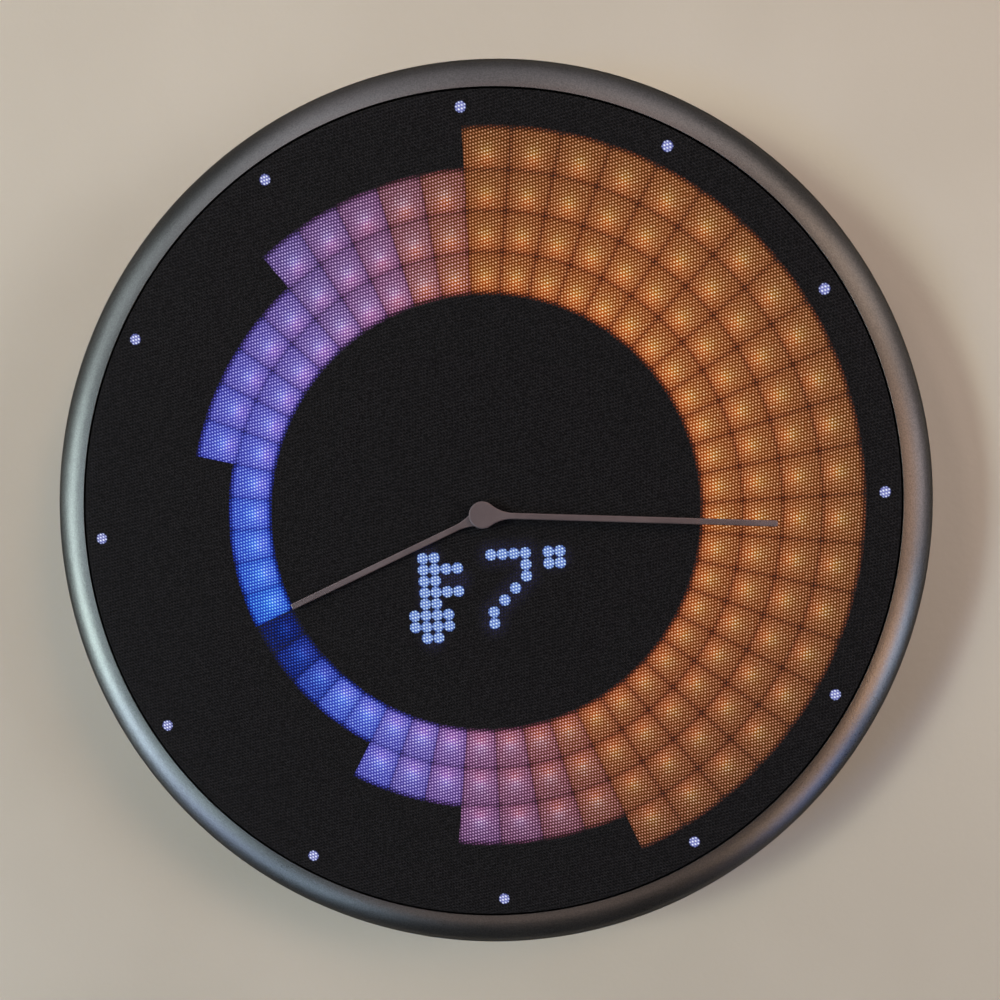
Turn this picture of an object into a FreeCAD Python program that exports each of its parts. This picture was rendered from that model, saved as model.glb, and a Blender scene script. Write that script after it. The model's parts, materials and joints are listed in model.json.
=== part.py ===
import FreeCAD, Part
import math
import os
from FreeCAD import Vector

# Wall clock with two hands over a cloth face that is lit from behind. Millimetres.
# The origin lies on the hands' axis in the wall's plane. The face looks along -Y, +Z points to
# twelve o'clock and +X is on the right when the face is looked at. Depth is the distance from the wall.

# rim
rim_width = 8.7
rim_nose_radius = 4.5
rim_crown_radius = 16.0
rim_crown_turn = 60.0
rim_tuck_turn = 50.0
rim_lip_rise = 0.1
rim_lip_bevel = 0.4
rim_tail_step = 1.2
shelf_thickness = 2.6
shelf_width = 10.7

# cloth face and its hoop
face_radius = 98.1
face_gap = 0.6
cloth_thickness = 0.5
cloth_skirt = 7.4
cloth_edge_radius = 0.9
cloth_hole_radius = 2.2
hoop_width = 1.45

# rear shell
shell_wall = 2.2
shell_depth = 12.8
shell_step = 0.2
flank_radius = 9.0
recess_depth = 3.0
recess_floor = 2.0

# wall plate and its fixings
bumper_height = 3.0
bumper_radius = 6.0
bumper_inset = 8.0
bumper_count = 4
plate_radius = 34.0
plate_base = 2.2
plate_rim_width = 2.4
plate_height = 4.6
plate_hole_radius = 2.2
plate_hole_spacing = 44.0
plate_sink_radius = 4.4
plate_boss_radius = 6.4
plate_key_width = 6.0
plate_key_length = 3.0
magnet_radius = 6.0
magnet_thickness = 2.2
magnet_count = 4
magnet_wall = 1.2
strike_thickness = 1.0
strike_width = 14.0
strike_inset = 3.0

# light board and light grid
board_thickness = 1.6
grid_depth = 6.4
grid_plate = 1.3
face_border = 6.6
cell_rows = 4
cell_columns = 48
cell_pitch = 9.3
cell_wall = 0.8
cell_border = 0.8
hour_count = 12
dot_inset = 1.7
dot_pipe_radius = 1.15
dot_pipe_wall = 0.55
dot_pipe_sink = 0.3
dot_pipe_length = 4.8
matrix_columns = 14
matrix_rows = 8
matrix_pitch = 2.76
matrix_dot_radius = 1.16
matrix_centre_drop = 19.05
matrix_border = 2.4
lens_plate = 0.6
lens_pip_height = 2.6
grid_boss_wall = 2.3
grid_rib_width = 1.0
grid_rib_count = 6
grid_rib_height = 3.0
ring_light_size = 2.0
ring_light_height = 0.8
small_light_size = 1.5
small_light_height = 0.6
chip_size = 6.0
chip_height = 0.9
chip_count = 6
chip_inset = 17.8

# hands
minute_angle = 95.0
minute_length = 69.0
minute_hub_radius = 3.22
minute_flare = 7.3
minute_thickness = 0.8
hour_angle = 247.9
hour_length = 51.5
hour_hub_radius = 2.6
hour_flare = 7.0
hour_thickness = 0.6
hand_width = 1.45
hand_tip_radius = 0.35
hand_edge_bevel = 0.12
hand_rise = 1.0
hand_spacing = 0.3
collar_radius = 1.5

# hand drive
movement_gap = 0.2
case_wall = 1.2
case_floor = 1.0
case_lid = 1.2
case_corner = 4.0
case_left = 24.0
case_right = 26.0
case_up = 24.4
case_down = 12.6
ear_radius = 3.4
ear_reach = 2.6
spigot_radius = 5.0
arbor_radius = 0.75
pipe_radius = 1.6
gear_thickness = 0.7
train_module = 0.32
motion_module = 0.5
hour_module = 0.48
centre_teeth = 60
third_pinion_teeth = 10
third_teeth = 50
rotor_pinion_teeth = 10
cannon_teeth = 12
reverser_teeth = 36
reverser_pinion_teeth = 10
hour_teeth = 40
tooth_share = 0.36
tooth_addendum = 0.85
tooth_dedendum = 1.2
layer_third = 1.7
layer_centre = 3.1
layer_stator = 4.3
layer_motion = 5.5
layer_hour = 7.2
small_arbor_radius = 0.5
pivot_depth = 0.5
rotor_radius = 2.9
rotor_height = 2.8
stator_gap = 0.5
stator_web = 1.6
stator_thickness = 0.7
coil_offset = 10.4
coil_radius = 3.0
coil_core_radius = 1.2
coil_flange = 0.8
coil_length = 13.0
stator_length = 20.0

# control board and what it carries
control_rise = 4.2
control_thickness = 1.2
control_half_width = 29.0
control_length = 30.0
control_inset = 12.0
tongue_half_width = 12.0
post_radius = 2.6
post_inset = 4.0
port_width = 8.94
port_height = 3.26
port_length = 7.35
port_wall = 0.3
port_sink = 0.2
port_tongue_width = 6.7
port_tongue_thickness = 0.7
port_tongue_length = 5.4
module_width = 18.0
module_length = 16.0
module_height = 2.4
module_can_inset = 1.2
module_board = 0.8
module_side_inset = 10.0
module_foot_inset = 6.0
processor_size = 8.0
processor_height = 1.0
socket_width = 14.0
socket_length = 5.0
socket_height = 2.0
socket_inset = 1.0
ribbon_width = 12.0
ribbon_thickness = 0.3
ribbon_bend = 2.2
ribbon_lead = 2.4
switch_size = 6.0
switch_height = 1.8
switch_stem_radius = 1.6
switch_stem_height = 0.5
button_radius = 3.5
button_inset = 16.0
button_flange = 1.2
button_flange_height = 0.8
button_sink = 0.2
button_travel = 0.5

# battery
cell_width = 35.0
cell_height = 58.0
cell_thickness = 8.0
cell_corner = 2.0
cell_side_gap = 6.2
pad_thickness = 1.0
pad_size = 20.0
rib_width = 1.2
rib_height = 4.0
lead_radius = 0.6
lead_pair_pitch = 1.6
plug_width = 6.0
plug_length = 5.0
plug_height = 3.2

# screws
case_screw_radius = 1.05
case_screw_inset = 4.0
case_screw_count = 8
case_screw_head_radius = 2.3
case_screw_head_height = 1.6
case_screw_grip = 4.0
case_sink_depth = 2.6
case_boss_radius = 3.8
grid_post_radius = 2.4
board_screw_inset = 5.7
board_screw_count = 6
small_screw_radius = 0.8
small_screw_head_radius = 1.8
small_screw_head_height = 1.2
small_screw_grip = 3.4
driver_slot_radius = 0.75
driver_slot_depth = 0.7

# clearances
running_gap = 0.05
seat_gap = 0.05
slip_gap = 0.3
screw_gap = 0.35
thread_gap = 0.05
plate_gap = 0.4
hoop_gap = 0.1

# depths of the stack, counted from the wall
back_depth = bumper_height
floor_depth = back_depth + shell_wall
recess_face_depth = back_depth + recess_depth
recess_inner_depth = recess_face_depth + recess_floor
parting_depth = back_depth + shell_depth
shelf_depth = parting_depth + shelf_thickness
board_depth = shelf_depth + board_thickness
grid_front_depth = board_depth + grid_depth
cloth_depth = grid_front_depth + cloth_thickness
plate_under_depth = grid_front_depth - grid_plate
hour_hand_depth = cloth_depth + hand_rise
hour_hand_top = hour_hand_depth + hour_thickness
minute_hand_depth = hour_hand_top + hand_spacing
minute_hand_top = minute_hand_depth + minute_thickness

# radii that follow from the rim and the face
lip_radius = face_radius + face_gap
shelf_inner_radius = lip_radius - shelf_width
hoop_outer_radius = face_radius - cloth_thickness - seat_gap
hoop_inner_radius = hoop_outer_radius - hoop_width
grid_radius = hoop_inner_radius - hoop_gap
dot_ring_radius = grid_radius - dot_inset
cell_outer_radius = grid_radius - face_border
cell_inner_radius = cell_outer_radius - cell_rows * cell_pitch
case_screw_ring = grid_radius - case_screw_inset
board_screw_ring = cell_inner_radius - board_screw_inset
chip_ring_radius = cell_inner_radius + chip_inset
bumper_ring = case_screw_ring - bumper_inset
rim_radius = lip_radius + rim_width
nose_centre_radius = rim_radius - rim_nose_radius
crown_turn = math.radians(rim_crown_turn)
crown_centre_radius = nose_centre_radius - (rim_crown_radius - rim_nose_radius) * math.cos(crown_turn)
lip_depth = cloth_depth + rim_lip_rise
crown_reach = lip_radius + rim_lip_bevel - crown_centre_radius
crown_centre_depth = lip_depth - math.sqrt(rim_crown_radius ** 2 - crown_reach ** 2)
nose_depth = crown_centre_depth + (rim_crown_radius - rim_nose_radius) * math.sin(crown_turn)
tuck_turn = math.radians(rim_tuck_turn)
tuck_radius = nose_centre_radius + rim_nose_radius * math.cos(tuck_turn)
tail_radius = tuck_radius - rim_tail_step
shell_radius = tail_radius - shell_step

# the wall plate's nest, the boards and the battery
recess_radius = plate_radius + plate_gap
strike_outer_radius = plate_radius - strike_inset
strike_inner_radius = strike_outer_radius - strike_width
magnet_ring = (strike_inner_radius + strike_outer_radius) / 2
control_bottom = case_screw_ring - control_inset
control_top = control_bottom - control_length
button_drop = control_top + button_inset
cell_offset = case_screw_ring - case_boss_radius - cell_side_gap - cell_width / 2

# the hand drive's centres and its depths
movement_depth = recess_inner_depth + movement_gap
movement_floor = movement_depth + case_floor
movement_front = shelf_depth
lid_depth = movement_front - case_lid
train_distance = (centre_teeth + third_pinion_teeth) * train_module / 2
rotor_distance = (third_teeth + rotor_pinion_teeth) * train_module / 2
motion_distance = (cannon_teeth + reverser_teeth) * motion_module / 2
third_z = train_distance
rotor_x = rotor_distance
reverser_x = -motion_distance

parts = {}


def at(x, z, depth):
    return Vector(x, -depth, z)


def clock(radius, angle):
    """x and z at a clock angle, in degrees clockwise from twelve."""
    turn = math.radians(angle)
    return radius * math.sin(turn), radius * math.cos(turn)


def rod(x, z, radius, low, high):
    return Part.makeCylinder(radius, high - low, at(x, z, low), Vector(0, -1, 0))


def tube(x, z, inner, outer, low, high):
    return rod(x, z, outer, low, high).cut(rod(x, z, inner, low - 1, high + 1))


def block(x0, x1, z0, z1, low, high):
    return Part.makeBox(x1 - x0, high - low, z1 - z0, Vector(x0, -high, z0))


def slab(wire, low, high):
    """Extrude a wire, or a face, that lies at the low depth."""
    face = wire if wire.ShapeType == "Face" else Part.Face(wire)
    return face.extrude(Vector(0, low - high, 0))


def turned(shape, angle):
    copy = shape.copy()
    copy.rotate(Vector(0, 0, 0), Vector(0, 1, 0), angle)
    return copy


def around(shape, count, first=0.0):
    return [turned(shape, first + 360.0 * i / count) for i in range(count)]


def spun(edges):
    """Turn a closed outline of (radius, depth) edges about the hands' axis."""
    return Part.Face(Part.Wire(edges)).revolve(Vector(0, 0, 0), Vector(0, 1, 0), 360)


def line(a, b):
    return Part.LineSegment(at(a[0], 0, a[1]), at(b[0], 0, b[1])).toShape()


def lines(points):
    return [line(a, b) for a, b in zip(points, points[1:])]


def arc(centre, radius, start, end):
    """Arc in the (radius, depth) plane from one angle to another, in radians."""
    points = []
    for turn in (start, (start + end) / 2, end):
        points.append(at(centre[0] + radius * math.cos(turn), 0, centre[1] + radius * math.sin(turn)))
    return Part.Arc(*points).toShape()


def rounded(x0, x1, z0, z1, corner, low, high):
    body = block(x0, x1, z0, z1, low, high)
    upright = [e for e in body.Edges if abs(e.tangentAt(e.FirstParameter).y) > 0.9]
    return body.makeFillet(corner, upright)


def pile(shapes):
    return Part.makeCompound(shapes)


def fused(first, others):
    return first.fuse(others).removeSplitter()


def screw(x, z, head_low, head_radius, head_height, shank_radius, tip, facing=1):
    """Pan head screw. Facing 1 drives away from the wall, -1 towards it."""
    under = head_low + facing * head_height
    head = rod(x, z, head_radius, min(head_low, under), max(head_low, under))
    socket = head_low + facing * driver_slot_depth
    head = head.cut(rod(x, z, driver_slot_radius, min(head_low, socket), max(head_low, socket)))
    return head.fuse(rod(x, z, shank_radius, min(under, tip), max(under, tip))).removeSplitter()


def case_screw_places():
    first = 180.0 / case_screw_count
    return [clock(case_screw_ring, first + 360.0 * i / case_screw_count) for i in range(case_screw_count)]


def board_screw_places():
    first = 180.0 / board_screw_count
    return [clock(board_screw_ring, first + 360.0 * i / board_screw_count) for i in range(board_screw_count)]


def ear_places():
    z = (case_up - case_down) / 2
    return [(-case_left - ear_reach, z), (case_right + ear_reach, z)]


def post_places():
    x = control_half_width - post_inset
    top = -control_top - post_inset
    bottom = -control_bottom + post_inset
    return [(-x, top), (x, top), (-x, bottom), (x, bottom)]


# the plate on the wall

def wall_plate():
    body = rod(0, 0, plate_radius, 0, plate_base)
    rim = tube(0, 0, plate_radius - plate_rim_width, plate_radius, 0, plate_height)
    key_z = plate_radius + plate_key_length - seat_gap
    key = block(-plate_key_width / 2, plate_key_width / 2, plate_radius - plate_rim_width / 2,
                key_z, back_depth + slip_gap, plate_height)
    adds = [rim, key]
    cup_radius = magnet_radius + magnet_wall
    for i in range(magnet_count):
        x, z = clock(magnet_ring, (i + 0.5) * 360.0 / magnet_count)
        adds.append(rod(x, z, cup_radius, 0, plate_height))
    for side in (-1, 1):
        adds.append(rod(side * plate_hole_spacing / 2, 0, plate_boss_radius, 0, plate_height))
    body = fused(body, adds)
    cuts = []
    for i in range(magnet_count):
        x, z = clock(magnet_ring, (i + 0.5) * 360.0 / magnet_count)
        cuts.append(rod(x, z, magnet_radius + seat_gap, magnet_seat_depth(), plate_height + 1))
    for side in (-1, 1):
        x = side * plate_hole_spacing / 2
        cuts.append(rod(x, 0, plate_hole_radius, -1, plate_height + 1))
        sink = plate_sink_radius - plate_hole_radius
        cuts.append(Part.makeCone(plate_hole_radius, plate_sink_radius, sink,
                                  at(x, 0, plate_height - sink), Vector(0, -1, 0)))
    return body.cut(cuts)


def magnet_seat_depth():
    return strike_front_depth() - magnet_thickness


def strike_front_depth():
    return recess_face_depth - strike_thickness


def holding_magnets():
    places = []
    for i in range(magnet_count):
        x, z = clock(magnet_ring, (i + 0.5) * 360.0 / magnet_count)
        places.append(rod(x, z, magnet_radius, magnet_seat_depth(), strike_front_depth()))
    return pile(places)


def strike_ring():
    return tube(0, 0, strike_inner_radius, strike_outer_radius, strike_front_depth(), recess_face_depth)


def wall_bumpers():
    x, z = clock(bumper_ring, 180.0 / bumper_count)
    pad = rod(x, z, bumper_radius, 0, back_depth)
    edge = [e for e in pad.Edges if abs(e.CenterOfMass.y) < 0.01 and e.Closed]
    return pile(around(pad.makeFillet(bumper_height / 5, edge), bumper_count))


# the case

def rear_shell():
    flat = shell_radius - flank_radius
    turn_depth = back_depth + flank_radius
    wall_radius = recess_radius + recess_floor
    inner = shell_radius - shell_wall
    outline = lines([(0, recess_face_depth), (recess_radius, recess_face_depth),
                     (recess_radius, back_depth), (flat, back_depth)])
    outline.append(arc((flat, turn_depth), flank_radius, -math.pi / 2, 0))
    outline += lines([(shell_radius, turn_depth), (shell_radius, parting_depth),
                      (inner, parting_depth), (inner, turn_depth)])
    outline.append(arc((flat, turn_depth), flank_radius - shell_wall, 0, -math.pi / 2))
    outline += lines([(flat, floor_depth), (wall_radius, floor_depth), (wall_radius, recess_inner_depth),
                      (0, recess_inner_depth), (0, recess_face_depth)])
    body = spun(outline)
    adds = []
    cuts = []
    for x, z in case_screw_places():
        adds.append(rod(x, z, case_boss_radius, floor_depth - shell_wall / 2, parting_depth))
        cuts.append(rod(x, z, case_screw_head_radius + screw_gap, back_depth - 1, back_depth + case_sink_depth))
        cuts.append(rod(x, z, case_screw_radius + screw_gap, back_depth, parting_depth + 1))
    for x, z in post_places():
        adds.append(rod(x, z, post_radius, floor_depth - shell_wall / 2, control_depth()))
        cuts.append(rod(x, z, small_screw_radius + thread_gap, floor_depth, control_depth() + 1))
    adds += battery_ribs()
    key_z = recess_radius + plate_key_length
    notch = plate_key_width / 2 + slip_gap
    adds.append(block(-notch - recess_floor, notch + recess_floor, recess_radius, key_z + recess_floor,
                      back_depth, recess_inner_depth))
    body = fused(body, adds)
    cuts.append(block(-notch, notch, recess_radius - recess_floor, key_z, back_depth - 1, recess_face_depth))
    cuts.append(rod(0, -button_drop, button_radius + slip_gap, back_depth - 1, floor_depth + 1))
    cuts.append(port_slot(slip_gap))
    return body.cut(cuts)


def battery_ribs():
    ribs = []
    for side in (-1, 1):
        x0 = side * cell_offset - cell_width / 2
        x1 = side * cell_offset + cell_width / 2
        z1 = cell_height / 2 + slip_gap
        low = floor_depth - shell_wall / 2
        high = floor_depth + rib_height
        inset = cell_width / 6
        ribs.append(block(x0 + inset, x1 - inset, z1, z1 + rib_width, low, high))
        ribs.append(block(x0 + inset, x1 - inset, -z1 - rib_width, -z1, low, high))
    return ribs


def bezel_ring():
    crown = (crown_centre_radius, crown_centre_depth)
    nose = (nose_centre_radius, nose_depth)
    start = math.asin((lip_depth - crown_centre_depth) / rim_crown_radius)
    lip_end = lip_radius + rim_lip_bevel
    tuck = (tuck_radius, nose_depth - rim_nose_radius * math.sin(tuck_turn))
    outline = lines([(shelf_inner_radius, parting_depth), (shelf_inner_radius, shelf_depth),
                     (lip_radius, shelf_depth), (lip_radius, lip_depth - rim_lip_bevel), (lip_end, lip_depth)])
    outline.append(arc(crown, rim_crown_radius, start, crown_turn))
    outline.append(arc(nose, rim_nose_radius, crown_turn, -tuck_turn))
    outline += lines([tuck, (tail_radius, parting_depth), (shelf_inner_radius, parting_depth)])
    body = spun(outline)
    holes = [rod(x, z, case_screw_radius + screw_gap, parting_depth - 1, shelf_depth + 1)
             for x, z in case_screw_places()]
    return body.cut(holes)


def case_screws():
    head = back_depth + case_sink_depth - case_screw_head_height
    tip = board_depth + case_screw_grip
    return pile([screw(x, z, head, case_screw_head_radius, case_screw_head_height, case_screw_radius, tip)
                 for x, z in case_screw_places()])


# the cloth face

def fabric_hoop():
    corner = cloth_edge_radius
    top = grid_front_depth - seat_gap
    outline = lines([(hoop_inner_radius, shelf_depth), (hoop_outer_radius, shelf_depth),
                     (hoop_outer_radius, top - corner)])
    outline.append(arc((hoop_outer_radius - corner, top - corner), corner, 0, math.pi / 2))
    outline += lines([(hoop_outer_radius - corner, top), (hoop_inner_radius, top),
                      (hoop_inner_radius, shelf_depth)])
    return spun(outline)


def front_fabric():
    corner = cloth_edge_radius + cloth_thickness + seat_gap
    inner = face_radius - cloth_thickness
    foot = cloth_depth - cloth_skirt
    centre = (face_radius - corner, cloth_depth - corner)
    outline = lines([(cloth_hole_radius, grid_front_depth), (cloth_hole_radius, cloth_depth),
                     (centre[0], cloth_depth)])
    outline.append(arc(centre, corner, math.pi / 2, 0))
    outline += lines([(face_radius, centre[1]), (face_radius, foot), (inner, foot), (inner, centre[1])])
    outline.append(arc(centre, corner - cloth_thickness, 0, math.pi / 2))
    outline += lines([(centre[0], grid_front_depth), (cloth_hole_radius, grid_front_depth)])
    return spun(outline)


# the light grid and the lights

def circle_wire(x, z, radius, depth):
    return Part.Wire(Part.Circle(at(x, z, depth), Vector(0, -1, 0), radius).toShape())


def cell_wire(row, column, depth):
    """Outline of one cell: two arcs and two sides that keep the same wall to the next cell."""
    half = cell_wall / 2
    inner = cell_inner_radius + row * cell_pitch + half
    outer = cell_inner_radius + (row + 1) * cell_pitch - half
    low = 360.0 * column / cell_columns
    high = 360.0 * (column + 1) / cell_columns
    middle = (low + high) / 2
    corner = {}
    for radius in (inner, outer):
        step = math.degrees(math.asin(half / radius))
        corner[radius] = (at(*clock(radius, low + step), depth), at(*clock(radius, high - step), depth))
    edges = [Part.Arc(corner[inner][0], at(*clock(inner, middle), depth), corner[inner][1]).toShape(),
             Part.LineSegment(corner[inner][1], corner[outer][1]).toShape(),
             Part.Arc(corner[outer][1], at(*clock(outer, middle), depth), corner[outer][0]).toShape(),
             Part.LineSegment(corner[outer][0], corner[inner][0]).toShape()]
    return Part.Wire(edges)


def holed_slab(wires, low, high):
    return Part.makeFace(wires, "Part::FaceMakerBullseye").extrude(Vector(0, low - high, 0))


def cell_lattice():
    depth = board_depth
    wires = [circle_wire(0, 0, cell_outer_radius + cell_border, depth),
             circle_wire(0, 0, cell_inner_radius - cell_border, depth)]
    for row in range(cell_rows):
        for column in range(cell_columns):
            wires.append(cell_wire(row, column, depth))
    return holed_slab(wires, depth, grid_front_depth)


def matrix_places():
    places = []
    for row in range(matrix_rows):
        for column in range(matrix_columns):
            x = (column - (matrix_columns - 1) / 2) * matrix_pitch
            z = -matrix_centre_drop - (row - (matrix_rows - 1) / 2) * matrix_pitch
            places.append((x, z))
    return places


def hour_places():
    return [clock(dot_ring_radius, 360.0 * i / hour_count) for i in range(hour_count)]


def matrix_box(margin):
    half_x = matrix_columns * matrix_pitch / 2 + margin
    half_z = matrix_rows * matrix_pitch / 2 + margin
    return -half_x, half_x, -matrix_centre_drop - half_z, -matrix_centre_drop + half_z


def lens_back_depth():
    return grid_front_depth - dot_pipe_sink - lens_pip_height - lens_plate


def light_grid():
    lattice = cell_lattice()
    front = grid_front_depth
    bore = spigot_radius + slip_gap
    wires = [circle_wire(0, 0, cell_inner_radius - cell_border / 2, plate_under_depth),
             circle_wire(0, 0, bore, plate_under_depth)]
    pip = matrix_dot_radius + seat_gap
    wires += [circle_wire(x, z, pip, plate_under_depth) for x, z in matrix_places()]
    inner_plate = holed_slab(wires, plate_under_depth, front)
    outer_edge = cell_outer_radius + cell_border / 2
    wires = [circle_wire(0, 0, grid_radius, plate_under_depth), circle_wire(0, 0, outer_edge, plate_under_depth)]
    dot = dot_pipe_radius + seat_gap
    wires += [circle_wire(x, z, dot, plate_under_depth) for x, z in hour_places()]
    outer_plate = holed_slab(wires, plate_under_depth, front)
    return fused(lattice, [inner_plate, outer_plate] + grid_supports())


def grid_supports():
    """Centre boss, ribs, screw posts, dot tubes and the walls round the dot matrix."""
    low = board_depth
    high = plate_under_depth
    bore = spigot_radius + slip_gap
    boss = bore + grid_boss_wall
    shapes = [tube(0, 0, bore, boss, low, high)]
    x0, x1, z0, z1 = matrix_box(matrix_border)
    lens_x0, lens_x1, lens_z0, lens_z1 = matrix_box(seat_gap)
    frame = block(x0, x1, z0, z1, low, high)
    frame = frame.cut(block(lens_x0, lens_x1, lens_z0, lens_z1, low - 1, high + 1))
    frame = frame.cut(rod(0, 0, bore, low - 1, high + 1))
    shapes.append(frame)
    rib = block(-grid_rib_width / 2, grid_rib_width / 2, boss - 1, cell_inner_radius - cell_border / 2,
                high - grid_rib_height, high)
    keep_out = block(lens_x0, lens_x1, lens_z0, lens_z1, low - 1, high + 1)
    for piece in around(rib, grid_rib_count, 0.0):
        shapes.append(piece.cut(keep_out))
    grip = board_depth + case_screw_grip + thread_gap
    for x, z in case_screw_places():
        post = rod(x, z, grid_post_radius, low, high)
        shapes.append(post.cut(rod(x, z, case_screw_radius + thread_gap, low - 1, grip)))
    small_grip = board_depth + small_screw_grip + thread_gap
    for x, z in board_screw_places() + ear_places():
        post = rod(x, z, grid_post_radius, low, high)
        shapes.append(post.cut(rod(x, z, small_screw_radius + thread_gap, low - 1, small_grip)))
    dot = dot_pipe_radius + seat_gap
    for x, z in hour_places():
        pipe = tube(x, z, dot, dot + dot_pipe_wall, low, high)
        shapes.append(pipe)
    return shapes


def light_board():
    depth = shelf_depth
    wires = [circle_wire(0, 0, grid_radius, depth), circle_wire(0, 0, spigot_radius + slip_gap, depth)]
    for x, z in case_screw_places():
        wires.append(circle_wire(x, z, case_screw_radius + screw_gap, depth))
    for x, z in board_screw_places() + ear_places():
        wires.append(circle_wire(x, z, small_screw_radius + screw_gap, depth))
    return holed_slab(wires, depth, board_depth)


def ring_lights():
    half = ring_light_size / 2
    lights = []
    for row in range(cell_rows):
        radius = cell_inner_radius + (row + 0.5) * cell_pitch
        lamp = block(-half, half, radius - half, radius + half, board_depth, board_depth + ring_light_height)
        lights += around(lamp, cell_columns, 180.0 / cell_columns)
    return pile(lights)


def small_light(x, z):
    half = small_light_size / 2
    return block(x - half, x + half, z - half, z + half, board_depth, board_depth + small_light_height)


def hour_light_pipes():
    high = grid_front_depth - dot_pipe_sink
    return pile([rod(x, z, dot_pipe_radius, high - dot_pipe_length, high) for x, z in hour_places()])


def matrix_lens():
    x0, x1, z0, z1 = matrix_box(0)
    back = lens_back_depth()
    top = grid_front_depth - dot_pipe_sink
    plate = block(x0, x1, z0, z1, back, plate_under_depth)
    pips = [rod(x, z, matrix_dot_radius, plate_under_depth - lens_plate / 2, top) for x, z in matrix_places()]
    return fused(plate, pips)


def driver_chips():
    half = chip_size / 2
    chip = block(-half, half, chip_ring_radius - half, chip_ring_radius + half, shelf_depth - chip_height, shelf_depth)
    return pile(around(chip, chip_count, 180.0 / chip_count))


def board_screws():
    head = shelf_depth - small_screw_head_height
    tip = board_depth + small_screw_grip
    return pile([screw(x, z, head, small_screw_head_radius, small_screw_head_height, small_screw_radius, tip)
                 for x, z in board_screw_places()])


# the hands

def hand(angle, length, hub_radius, flare, low, high):
    """Flat hand: a round hub that sweeps in on hollow curves to an arm of steady width."""
    half = hand_width / 2
    sweep = (flare ** 2 - hub_radius ** 2 + half ** 2) / (2 * (hub_radius - half))
    share = hub_radius / (hub_radius + sweep)
    touch = (flare * share, (half + sweep) * share)
    middle_turn = (math.pi / 2 + math.atan2(half + sweep - touch[1], flare - touch[0])) / 2
    middle = (flare - sweep * math.cos(middle_turn), half + sweep - sweep * math.sin(middle_turn))
    tip = hand_tip_radius
    lean = tip * (1 - math.sqrt(0.5))

    def spot(u, v):
        turn = math.radians(angle)
        return at(u * math.sin(turn) + v * math.cos(turn), u * math.cos(turn) - v * math.sin(turn), low)

    edges = [Part.Arc(spot(touch[0], -touch[1]), spot(-hub_radius, 0), spot(*touch)).toShape(),
             Part.Arc(spot(*touch), spot(*middle), spot(flare, half)).toShape(),
             Part.LineSegment(spot(flare, half), spot(length - tip, half)).toShape(),
             Part.Arc(spot(length - tip, half), spot(length - lean, half - lean), spot(length, half - tip)).toShape(),
             Part.LineSegment(spot(length, half - tip), spot(length, tip - half)).toShape(),
             Part.Arc(spot(length, tip - half), spot(length - lean, lean - half), spot(length - tip, -half)).toShape(),
             Part.LineSegment(spot(length - tip, -half), spot(flare, -half)).toShape(),
             Part.Arc(spot(flare, -half), spot(middle[0], -middle[1]), spot(touch[0], -touch[1])).toShape()]
    body = slab(Part.Wire(edges), low, high)
    top = [e for e in body.Edges if abs(e.CenterOfMass.y + high) < 0.001]
    return body.makeChamfer(hand_edge_bevel, top)


def minute_hand():
    body = hand(minute_angle, minute_length, minute_hub_radius, minute_flare, minute_hand_depth, minute_hand_top)
    collar = rod(0, 0, collar_radius, hour_hand_top + hand_spacing / 2, minute_hand_depth)
    body = body.fuse(collar).removeSplitter()
    return body.cut(rod(0, 0, arbor_radius + seat_gap / 5, cloth_depth, arbor_top()))


def arbor_top():
    return minute_hand_depth + minute_thickness / 2


def hour_hand():
    body = hand(hour_angle, hour_length, hour_hub_radius, hour_flare, hour_hand_depth, hour_hand_top)
    return body.cut(rod(0, 0, pipe_radius + seat_gap / 5, cloth_depth, minute_hand_top))


# the hand drive

def gear(teeth, module, phase, x, z, bore, low):
    """Spur wheel with slim straight-sided teeth, so that a pair turns with some play."""
    pitch_radius = teeth * module / 2
    half = math.pi * tooth_share / teeth
    root = pitch_radius - tooth_dedendum * module
    tip = pitch_radius + tooth_addendum * module
    corners = ((root, 1.25), (pitch_radius, 1.0), (tip, 0.42))
    points = []
    for i in range(teeth):
        middle = phase + 2 * math.pi * i / teeth
        for radius, share in corners:
            points.append((radius, middle - half * share))
        for radius, share in reversed(corners):
            points.append((radius, middle + half * share))
    spots = [at(x + r * math.cos(a), z + r * math.sin(a), low) for r, a in points]
    face = Part.Face(Part.makePolygon(spots + spots[:1]))
    solid = face.extrude(Vector(0, -gear_thickness, 0))
    if bore > 0:
        solid = solid.cut(rod(x, z, bore, low - 1, low + gear_thickness + 1))
    return solid


def mesh_phase(direction, teeth, phase, other_teeth):
    """Phase of a second wheel whose gap faces a tooth of the first one along the given direction."""
    offset = (direction - phase) * teeth / (2 * math.pi)
    return direction + math.pi - (0.5 - offset) * 2 * math.pi / other_teeth


def layer(height):
    return movement_floor + height


def arbor_low():
    return movement_floor - pivot_depth


def arbor_high():
    return lid_depth + pivot_depth


def minute_arbor():
    wheel = gear(centre_teeth, train_module, 0.0, 0, 0, 0, layer(layer_centre))
    pinion = gear(cannon_teeth, motion_module, 0.0, 0, 0, 0, layer(layer_motion))
    return fused(wheel, [pinion, rod(0, 0, arbor_radius, arbor_low(), arbor_top())])


def third_wheel():
    pinion_phase = mesh_phase(math.pi / 2, centre_teeth, 0.0, third_pinion_teeth)
    pinion = gear(third_pinion_teeth, train_module, pinion_phase, 0, third_z, 0, layer(layer_centre))
    wheel = gear(third_teeth, train_module, 0.0, 0, third_z, 0, layer(layer_third))
    return fused(wheel, [pinion, rod(0, third_z, small_arbor_radius, arbor_low(), arbor_high())])


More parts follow.
